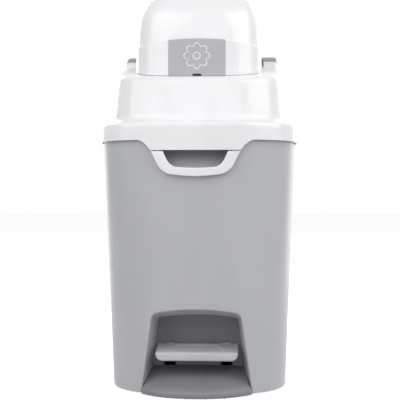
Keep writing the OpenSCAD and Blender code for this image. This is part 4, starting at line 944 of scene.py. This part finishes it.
def handle_band():
    """At each step of the U a rounded rectangle from the inner outline to the outer one, HANDLE_DEEP deep,
    less what the necks, the apron and the bucket need when the handle swings."""
    outer, inner = handle_u()
    reach = outer - inner
    x, y = quarter(HANDLE_EASE, 0, 90, 7).T
    offset = np.concatenate([x, -x[::-1], -x, x[::-1]])
    depth = np.concatenate([y, y[::-1], HANDLE_DEEP - y, HANDLE_DEEP - y[::-1]])
    share = np.repeat([0, 1, 1, 0], len(x)) + offset / np.linalg.norm(reach, axis=1)[:, None]
    flat = inner[:, None] + reach[:, None] * share[:, :, None]
    front = -arch(flat[:, :, 0], RIM_A, RIM_B, TOP_N)
    band = solid(np.stack([flat[:, :, 0], front + depth, flat[:, :, 1]], -1), "grab_handle")
    y, z = HANDLE_PIN_Y, HANDLE_PIN_Z
    band = join(band, *rods_x(HANDLE_IN_HW, 59.8, y, z, HANDLE_PIVOT_R))
    gaps = []
    for x0, x1 in sides(NECK[0] - GAP, NECK[1] + GAP):
        gaps += [rod_x(x0, x1, y, z, NECK_R + 0.3), block((x0, y - 3.4, z), (x1, y + 12, SEAM_Z + 5))]
    crest = cut(across(70, y - 9, y, z, z + 9), rod_x(-71, 71, y, z, APRON_Z - z - 0.3))
    heel = [(y + 1, z), (y - 1.4, z + 5), (y + 9, z + 5), (y + 9, z)]
    heels = [along_x(heel, *span) for span in sides(59.5, 70)]
    return cut(band, *gaps, crest, *heels, rod_x(-70, 70, y, z, PIN_HOLE_R))


handle = handle_band()
print("handle:", len(handle.data.polygons), "faces")

# %% [markdown]
# ## The pedal
# A hollow wedge with a shallow dish for the toe. It is lofted from front to back: each section is
# a rounded rectangle whose top falls towards the front, and the first few draw in by a quarter
# circle to round the front edge.

# %% Shape the pedal
PEDAL_HW, PEDAL_REAR_Y, PEDAL_FRONT_Y = 61.0, -58.0, -107.0
PEDAL_REAR_Z, PEDAL_FRONT_Z = SHAFT_Z + 22.5, SHAFT_Z + 14.7
PEDAL_REAR_LOW, PEDAL_FRONT_LOW = SHAFT_Z + 11.0, SHAFT_Z + 1.6
UPPER_R, LOWER_R, PEDAL_EASE, PEDAL_WALL, GROOVE_HW = 2.0, 11.5, 3.4, 2.6, 6.3
DISH_A, DISH_B, DISH_TAPER, DISH_Y = 35, 15, 4, -23


def pedal_section(y, inset):
    """Rounded rectangle in (x, z): small upper corners and large lower ones, drawn in by inset."""
    t = (y - PEDAL_FRONT_Y) / (PEDAL_REAR_Y - PEDAL_FRONT_Y)
    hw, top = PEDAL_HW - inset, mix(PEDAL_FRONT_Z, PEDAL_REAR_Z, t) - inset
    low = mix(PEDAL_FRONT_LOW, PEDAL_REAR_LOW, t) + inset
    upper = [hw, top] - quarter(UPPER_R, 0, 90, 8)[::-1]
    lower = [hw, low] + quarter(min(LOWER_R, top - low - UPPER_R), 0, 90, 8) * [-1, 1]
    return laid(evenly(mirrored(np.vstack([upper, lower])), 160, closed=True), 1, y)


def pedal_dish(grow, depth):
    """Trapezoid with soft corners, laid on the pedal's sloping top."""
    square = ring(1, 1, 7, 0, count=96)
    y = DISH_Y + (DISH_B + grow) * square[:, 1]
    x = (DISH_A + grow) * square[:, 0] - DISH_TAPER * square[:, 0] * square[:, 1]
    slope = (PEDAL_REAR_Z - PEDAL_FRONT_Z) / (PEDAL_REAR_Y - PEDAL_FRONT_Y)
    return np.stack([x, PEDAL_REAR_Y + y, PEDAL_REAR_Z + slope * y - depth], 1)


def pedal_tread():
    """The tread, less its hollow, a groove over each arm of the lever and the dish for the toe."""
    rings = [pedal_section(PEDAL_FRONT_Y + back, inset) for back, inset in quarter(PEDAL_EASE, 0, 90, 10)]
    rings += [pedal_section(y, 0) for y in np.linspace(PEDAL_FRONT_Y + 5, PEDAL_REAR_Y, 12)]
    tread = solid(rings, "pedal_tread")
    front, rear, low = PEDAL_FRONT_Y, PEDAL_REAR_Y - PEDAL_WALL, SHAFT_Z - 10
    under = [(rear, PEDAL_REAR_Z - 3), (front + 5, PEDAL_FRONT_Z - 2.4), (front + 3.4, PEDAL_FRONT_Z - 4.6),
             (front + 3.8, low), (rear, low)]
    hollow = along_x(under, -PEDAL_HW + PEDAL_WALL, PEDAL_HW - PEDAL_WALL)
    front, rear = PEDAL_FRONT_Y + 6.4, PEDAL_REAR_Y + 1
    groove = [(front, low), (front, PEDAL_FRONT_Z - 1.3), (rear, PEDAL_REAR_Z - 2.9), (rear, low)]
    grooves = [along_x(groove, *span) for span in sides(ARM_X - GROOVE_HW, ARM_X + GROOVE_HW)]
    levels = (-3, 1.5), (-1.2, 1.3), (0.2, 0.3), (0.8, -0.4), (0.8, -3)
    return cut(tread, hollow, *grooves, solid([pedal_dish(grow, depth) for grow, depth in levels]))


pedal = pedal_tread()
print("pedal:", len(pedal.data.polygons), "faces")

# %% [markdown]
# ## The lever behind the pedal
# The two arms that carry the pedal come out of the back wall. Only their humps show, so the packed
# lever is copied, its loose triangles are merged into one closed mesh, and the humps are pared
# down to stand a little above the tread.

# %% Pare the lever's arms
HUMP_Z, HUMP_EASE = PEDAL_REAR_Z + 1.4, 3.0


def hump_corner(sign):
    """What a hump loses at its upper corners, so that it stays clear of its arched slot."""
    x = sign * ARM_X
    stock = block((x - 7, -62, HUMP_Z - 6), (x + 7, -RECESS_BACK + 3.4, HUMP_Z + 2))
    return cut(stock, lever_slot(sign, SLOT_TOP - 0.6, 8.2, 13))


def pared_lever():
    """The packed lever as one closed mesh, less what stands above the humps' rounded tops."""
    lever = placed("pedal_lever_arms", frame["nodes"]["pedal_lever"].data.copy())
    shape = bmesh.new()
    shape.from_mesh(lever.data)
    bmesh.ops.remove_doubles(shape, verts=shape.verts, dist=1e-6)
    shape.to_mesh(lever.data)
    shape.free()
    front, back, top = PEDAL_REAR_Y - 2, -RECESS_BACK + 3, HUMP_Z + 9
    crest = [PEDAL_REAR_Y + 0.6, HUMP_Z] + quarter(HUMP_EASE, 0, 90, 10) * [1, -1]
    above = [(front, HUMP_Z - HUMP_EASE), *crest, (back, HUMP_Z), (back, top), (front, top)]
    return cut(lever, along_x(above, -ARM_X - 8, ARM_X + 8), *both(hump_corner))


lever = pared_lever()
print("lever:", len(lever.data.polygons), "faces")

# %% [markdown]
# ## Smooth and sharp
# Each new moulding is shaded smooth, but an edge that turns by more than thirty degrees stays
# sharp, so a cut's rim is crisp while the domes and fillets flow.

# %% Shade the mouldings
MOULDINGS = [bucket, base, cover, hood, badge, bridge, handle, pedal, lever]
for piece in MOULDINGS:
    piece.data.polygons.foreach_set("use_smooth", [True] * len(piece.data.polygons))
    piece.data.set_sharp_from_angle(angle=math.radians(30))
print("mouldings:", [piece.name for piece in MOULDINGS])

# %% [markdown]
# ## Shader sums
# Finishes are sums over noise, height and edges. A socket wrapped in a small class takes part in
# plain arithmetic, and each operator adds one Math node, so the formula can be read as written.

# %% A socket that can be added and multiplied
class Wire:
    """A shader socket that takes part in arithmetic: each operator adds a Math node."""

    def __init__(self, nodes, socket):
        self.nodes, self.socket = nodes, socket

    def math(self, operation, *values, clamp=False):
        settings = dict(operation=operation, use_clamp=clamp)
        return self.nodes.add("Math", settings, dict(enumerate(values)))

    def __add__(self, other):
        return self.math("ADD", self, other)

    def __radd__(self, other):
        return self.math("ADD", other, self)

    def __sub__(self, other):
        return self.math("SUBTRACT", self, other)

    def __rsub__(self, other):
        return self.math("SUBTRACT", other, self)

    def __mul__(self, other):
        return self.math("MULTIPLY", self, other)

    def __rmul__(self, other):
        return self.math("MULTIPLY", other, self)

    def __truediv__(self, other):
        return self.math("DIVIDE", self, other)

    def __pow__(self, other):
        return self.math("POWER", self, other)

    def __abs__(self):
        return self.math("ABSOLUTE", self)

    def between(self, low, high):
        """0 below low, 1 above high and a smooth step between them; low may be the larger one."""
        t = self.math("DIVIDE", self - low, high - low, clamp=True)
        return t * t * (3 - 2 * t)


print("a wire can do", [name for name, call in vars(Wire).items() if callable(call)])

# %% [markdown]
# ### Colours
# A colour picked on a screen is bent by the screen's curve, and a shader wants it straight. Each
# finish is written in screen numbers, which are easier to judge, and made linear here.

# %% Screen colours
def linear(red, green, blue):
    """Screen colour from 0 to 255 as the linear colour that a shader takes."""
    share = np.array([red, green, blue]) / 255
    return (*np.where(share <= 0.04045, share / 12.92, ((share + 0.055) / 1.055) ** 2.4).tolist(), 1.0)


def shaded(colour, factor, lift=0.0):
    """A linear colour made darker or paler."""
    return tuple(min(1, c * factor + lift) for c in colour[:3]) + (1,)


print("white is", [round(v, 3) for v in linear(255, 255, 255)])

# %% [markdown]
# ### Growing a node tree
# A material could be wired by hand, node by node. Here one call adds a node, sets it and wires its
# inputs. On top of that a finish has what nearly all materials here need: noise of a real size,
# worn edges and a shader fed with colour, roughness and relief.

# %% Node trees
class Nodes:
    """The node tree of a material or of the world while it is being built."""

    def __init__(self, tree):
        self.tree = tree

    def add(self, kind, settings=None, inputs=None, out=0):
        """A node of one kind. Its settings go first, then the values or wires of its inputs."""
        node = self.tree.nodes.new("ShaderNode" + kind)
        for name, value in (settings or {}).items():
            setattr(node, name, value)
        for name, value in (inputs or {}).items():
            self.feed(node.inputs[name], value)
        return Wire(self, node.outputs[out])

    def feed(self, socket, value):
        if isinstance(value, Wire):
            self.tree.links.new(value.socket, socket)
        else:
            socket.default_value = value


class Finish(Nodes):
    """A material being built round one Principled shader."""

    def __init__(self, name):
        self.material = bpy.data.materials.new(name)
        self.material.use_nodes = True
        super().__init__(self.material.node_tree)
        self.shader = self.tree.nodes["Principled BSDF"]
        self.place = self.add("TexCoord", out="Object")
        self.own_normal = self.add("TexCoord", out="Normal")
        self.normal = self.add("NewGeometry", out="Normal")

    def noise(self, millimetres, detail=2.0, rough=0.5, stretch=(1, 1, 1)):
        """Noise whose patches are about that many millimetres across, drawn out along an axis by stretch."""
        place = self.add("Mapping", dict(vector_type="POINT"),
                         {"Vector": self.place, "Scale": tuple(1 / k for k in stretch)})
        return self.add("TexNoise", dict(noise_dimensions="3D"),
                        {"Vector": place, "Scale": 1000 / millimetres, "Detail": detail, "Roughness": rough})

    def tint(self, mask, first, second):
        """Colour that goes from the first to the second as the mask goes from 0 to 1."""
        return self.add("Mix", dict(data_type="RGBA"), {0: mask, 6: first, 7: second}, out=2)

    def edge(self, millimetres):
        """1 on edges, 0 on flat stretches: how far a rounded normal leans away from the true one."""
        rounded = self.add("Bevel", dict(samples=6), {"Radius": millimetres * MM})
        lean = self.add("VectorMath", dict(operation="DOT_PRODUCT"),
                        {0: rounded, 1: self.normal}, out="Value")
        return (1 - lean).between(0.01, 0.16)

    def split(self, vector):
        return [self.add("SeparateXYZ", None, {"Vector": vector}, out=k) for k in range(3)]

    def finish(self, colour, roughness, height, depth_mm, **sockets):
        """Feeds the shader; height is a relief of that depth, and sockets are plain values."""
        self.feed(self.shader.inputs["Base Color"], colour)
        self.feed(self.shader.inputs["Roughness"], roughness)
        relief = {"Height": height, "Distance": depth_mm * MM, "Strength": 1.0}
        self.feed(self.shader.inputs["Normal"], self.add("Bump", None, relief))
        for name, value in sockets.items():
            self.feed(self.shader.inputs[name.replace("_", " ")], value)
        return self.material


print(len(MOULDINGS), "mouldings wait for a finish")

# %% [markdown]
# ## Moulded plastic
# All the shells are injection-moulded polypropylene. A real moulding is never one flat colour: the
# tool's texture gives it a fine grain, the melt leaves broad, faint clouds that run upwards, edges
# are rubbed a little paler and shinier by hands, and fine scuffs break the gloss. Each of those is
# one term here. The polished white has hardly any grain and a slow orange-peel ripple instead.

# %% Finishes of the mouldings
DUST, INK = linear(196, 190, 180), linear(246, 247, 248)


def moulded(name, screen, gloss, grain_mm, grain_depth, peel=0.0, scuffs=0.5, rubbed=0.35, dust=0.0,
            coat=0.0, motif=None):
    """Moulded plastic of one screen colour; gloss is its roughness, and the rest are amounts."""
    f = Finish(name)
    clouds = f.noise(60, 3, 0.55, (1, 1, 3))
    speck = f.noise(grain_mm, 2, 0.6)
    fine = f.noise(grain_mm / 2.3, 1, 0.5)
    marks = f.noise(2.2, 4, 0.7, (0.5, 0.5, 9)).between(0.60, 0.74) * f.noise(28, 2).between(0.48, 0.62)
    edge = f.edge(1.4)
    base = linear(*screen)
    darker, paler = shaded(base, 0.94), shaded(base, 1.07, 0.008)
    colour = f.tint(clouds.between(0.3, 0.7), base, darker)
    colour = f.tint((speck - 0.5) * 0.35 + 0.12, colour, darker)
    colour = f.tint(edge * rubbed, colour, paler)
    if dust:
        up = f.split(f.own_normal)[2].between(0.5, 0.95)
        colour = f.tint(up * f.noise(9, 4, 0.65).between(0.35, 0.75) * dust, colour, DUST)
    if motif:
        colour = f.tint(motif(f), colour, INK)
    roughness = gloss + (speck - 0.5) * 0.10 + marks * 0.16 * scuffs - edge * 0.06 + (clouds - 0.5) * 0.05
    ripple = f.noise(7, 2, 0.5) * peel
    height = speck * 0.65 + fine * 0.35 + ripple - marks * 0.4 * scuffs
    return f.finish(colour, roughness, height, grain_depth, Coat_Weight=coat, Coat_Roughness=0.08, IOR=1.49)


print("dust is", [round(v, 2) for v in DUST], "and ink is", [round(v, 2) for v in INK])

# %% [markdown]
# The grey panel on the hood carries a flower of eight petals, printed as a thin white line. The
# line is where the distance from the middle meets 13.8 + 5.3 |cos 4a| mm, with a the angle round it.

# %% The flower on the grey panel
FLOWER_Z, PETAL, LOBE, EYE_R, LINE = 0.5000, 0.0138, 0.0053, 0.0050, 0.0006


def flower(f):
    """1 on the petals' line and on the small circle in the middle, but only on the panel's front."""
    x, _, z = f.split(f.place)
    z = z - FLOWER_Z
    away = (x * x + z * z) ** 0.5
    turns = z.math("ARCTAN2", z, x) * 4
    petals = abs(away - (PETAL + LOBE * abs(turns.math("COSINE", turns))))
    heart = abs(away - EYE_R)
    line = petals.math("MINIMUM", petals, heart).between(LINE * 1.25, LINE * 0.75)
    front = f.split(f.own_normal)[1].between(-0.4, -0.6)
    return line * front * 0.9


print("flower:", round(2 * (PETAL + LOBE) / MM, 1), "mm across")

# %% [markdown]
# ## The other finishes
# Steel pins and rods are drawn wire: bright, with fine lines along their length. The feet and
# seals are matt rubber. Bushes are left in nylon's own colour, which is a warm, faintly cloudy white.

# %% Finishes of the small parts
def drawn_steel(name):
    """Bright metal; the noise is squeezed to fine lines, and broad stains dull it a little."""
    f = Finish(name)
    lines = f.noise(0.35, 3, 0.7, (14, 1, 1))
    stain = f.noise(6, 3, 0.6)
    colour = f.tint(stain.between(0.35, 0.75), linear(200, 201, 203), linear(176, 176, 177))
    return f.finish(colour, 0.24 + lines * 0.16 + stain * 0.08, lines, 0.02, Metallic=1.0)


def soft_rubber(name, screen):
    """Rough and dark; a pale bloom lies on it in patches."""
    f = Finish(name)
    grain, bloom = f.noise(0.5, 3, 0.7), f.noise(14, 3, 0.6)
    base = linear(*screen)
    colour = f.tint(bloom.between(0.4, 0.75) * 0.6, base, shaded(base, 1.5, 0.01))
    return f.finish(colour, 0.68 + grain * 0.16 - f.edge(0.8) * 0.1, grain, 0.06)


finishes = {
    "grey_shell": moulded("satin_grey_shell", (181, 182, 186), 0.46, 0.8, 0.045, rubbed=0.3),
    "white_shell": moulded("polished_white_shell", (235, 235, 237), 0.24, 1.2, 0.006,
                           peel=3.0, scuffs=0.35, rubbed=0.2, coat=0.3),
    "grey_trim": moulded("satin_grey_trim", (178, 179, 183), 0.42, 0.7, 0.04, scuffs=0.4, rubbed=0.3),
    "pedal_grey": moulded("grained_pedal_grey", (190, 191, 195), 0.48, 1.0, 0.07,
                          scuffs=1.0, rubbed=0.5, dust=0.04),
    "base_grey": moulded("grained_base_grey", (126, 127, 131), 0.52, 1.0, 0.06,
                         scuffs=0.9, rubbed=0.45, dust=0.05),
    "inner_white": moulded("satin_inner_white", (228, 229, 230), 0.38, 0.9, 0.03, scuffs=0.4, rubbed=0.2),
    "dark_plastic": moulded("charcoal_nylon", (64, 65, 68), 0.42, 0.8, 0.05, scuffs=0.6, rubbed=0.5),
    "ring_blue": moulded("blue_bag_ring", (96, 150, 196), 0.36, 0.9, 0.03),
    "nylon": moulded("natural_nylon", (226, 221, 206), 0.40, 1.1, 0.03, scuffs=0.3, rubbed=0.2),
    "steel": drawn_steel("drawn_steel"),
    "rubber": soft_rubber("matt_black_rubber", (44, 44, 46)),
}
own_finishes = {
    "hinge_bridge": moulded("satin_hinge_grey", (152, 153, 156), 0.42, 0.7, 0.04, scuffs=0.4, rubbed=0.3),
    "badge_plate": moulded("printed_grey_panel", (177, 178, 182), 0.42, 0.7, 0.04,
                           scuffs=0.3, rubbed=0.3, motif=flower),
}
print("finishes:", ", ".join([*finishes, *own_finishes]))

# %% [markdown]
# ## Dress every piece
# A new moulding rides on its body, its plain solid is hidden so that the moulding takes its place,
# and it is painted with the finish of that solid's slot. The badge and the hinge bridge show a
# finish made for them alone. All the other solids keep their mesh and only take the finish of their slot.

# %% Give each piece its body and its finish
dressed = [(bucket, "bin", "bucket"), (base, "bin", "base_plate"), (cover, "top", "top_housing"),
           (hood, "hood", "hood"), (badge, "hood", "badge_plate"), (bridge, "top", "hinge_bridge"),
           (handle, "handle", "front_handle"), (pedal, "pedal", "pedal_plate"),
           (lever, "pedal", "pedal_lever")]
slot_of = {part["node"]: part["material_slot"] for part in frame["record"]["subparts"]}
for piece, body, node in dressed:
    piece.data.materials.clear()
    piece.data.materials.append(own_finishes.get(node) or finishes[slot_of[node]])
    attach(piece, body)
    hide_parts(node)

for node, plain in frame["nodes"].items():
    for place in plain.material_slots:
        place.material = finishes[slot_of[node]]
print("dressed:", len(dressed), "new mouldings and", len(frame["nodes"]) - len(dressed), "solids as packed")

# %% [markdown]
# ## Light and floor
# Plain, soft studio light: two broad keys from the left and the right, a small fill above the
# camera, and a strip behind each side that draws the thin bright line along its edge. The floor and
# the far background are white to the eye and in reflections, and the floor still takes a shadow.

# %% Place the lamps
AIM = Vector((0, 0, 0.3))


def softbox(name, place, width, height, watts):
    """An area lamp that the camera can't see, turned towards the middle of the bin."""
    light = bpy.data.lights.new(name, "AREA")
    light.shape, light.size, light.size_y, light.energy = "RECTANGLE", width, height, watts
    lamp = placed(name, light)
    lamp.location = place
    lamp.rotation_euler = (AIM - Vector(place)).to_track_quat("-Z", "Y").to_euler()
    lamp.visible_camera = False


softbox("key_left", (-1.75, -1.75, 1.9), 3.0, 3.0, 61)
softbox("key_right", (2.25, -1.15, 1.9), 3.0, 3.0, 69)
softbox("front_fill", (0.3, -2.8, 1.7), 1.6, 1.2, 8)
softbox("left_strip", (-0.75, 1.15, 0.6), 0.4, 1.4, 5.5)
softbox("right_strip", (0.75, 1.15, 0.6), 0.4, 1.4, 5.5)

world = bpy.data.worlds.new("studio")
bpy.context.scene.world = world
world.use_nodes = True
AMBIENT = 0.14


def seen_straight(nodes):
    """1 for what the eye sees straight or mirrored or through glass, 0 for light that falls on things."""
    path = nodes.tree.nodes.new("ShaderNodeLightPath")
    seen = Wire(nodes, path.outputs["Is Camera Ray"])
    for name in ("Is Glossy Ray", "Is Transmission Ray"):
        seen = seen.math("MAXIMUM", seen, Wire(nodes, path.outputs[name]))
    return seen


air = Nodes(world.node_tree)
sky = air.tree.nodes["Background"]
span = {"Value": seen_straight(air), "To Min": AMBIENT, "To Max": 1.0}
air.feed(sky.inputs["Strength"], air.add("MapRange", None, span))
air.feed(sky.inputs["Color"], (1, 1, 1, 1))

# %% Lay the floor
FLOOR_HW, GLOW, PAPER = 20000, 0.88, 0.60
corners = np.array([(-1, -1), (1, -1), (1, 1), (-1, 1)]) * FLOOR_HW
floor = mesh_object("floor", laid(corners, 2, 0), [(0, 1, 2, 3)])
paper = bpy.data.materials.new("white_floor")
paper.use_nodes = True
sheet = Nodes(paper.node_tree)
sheet.tree.nodes.remove(sheet.tree.nodes["Principled BSDF"])
matt = sheet.add("BsdfDiffuse", None, {"Color": (PAPER, PAPER, PAPER, 1)})
glow = sheet.add("Emission", None, {"Strength": seen_straight(sheet) * GLOW})
output = sheet.tree.nodes["Material Output"]
sheet.feed(output.inputs["Surface"], sheet.add("AddShader", None, {0: matt, 1: glow}))
floor.data.materials.append(paper)
print("floor laid")

# %% [markdown]
# ## The end
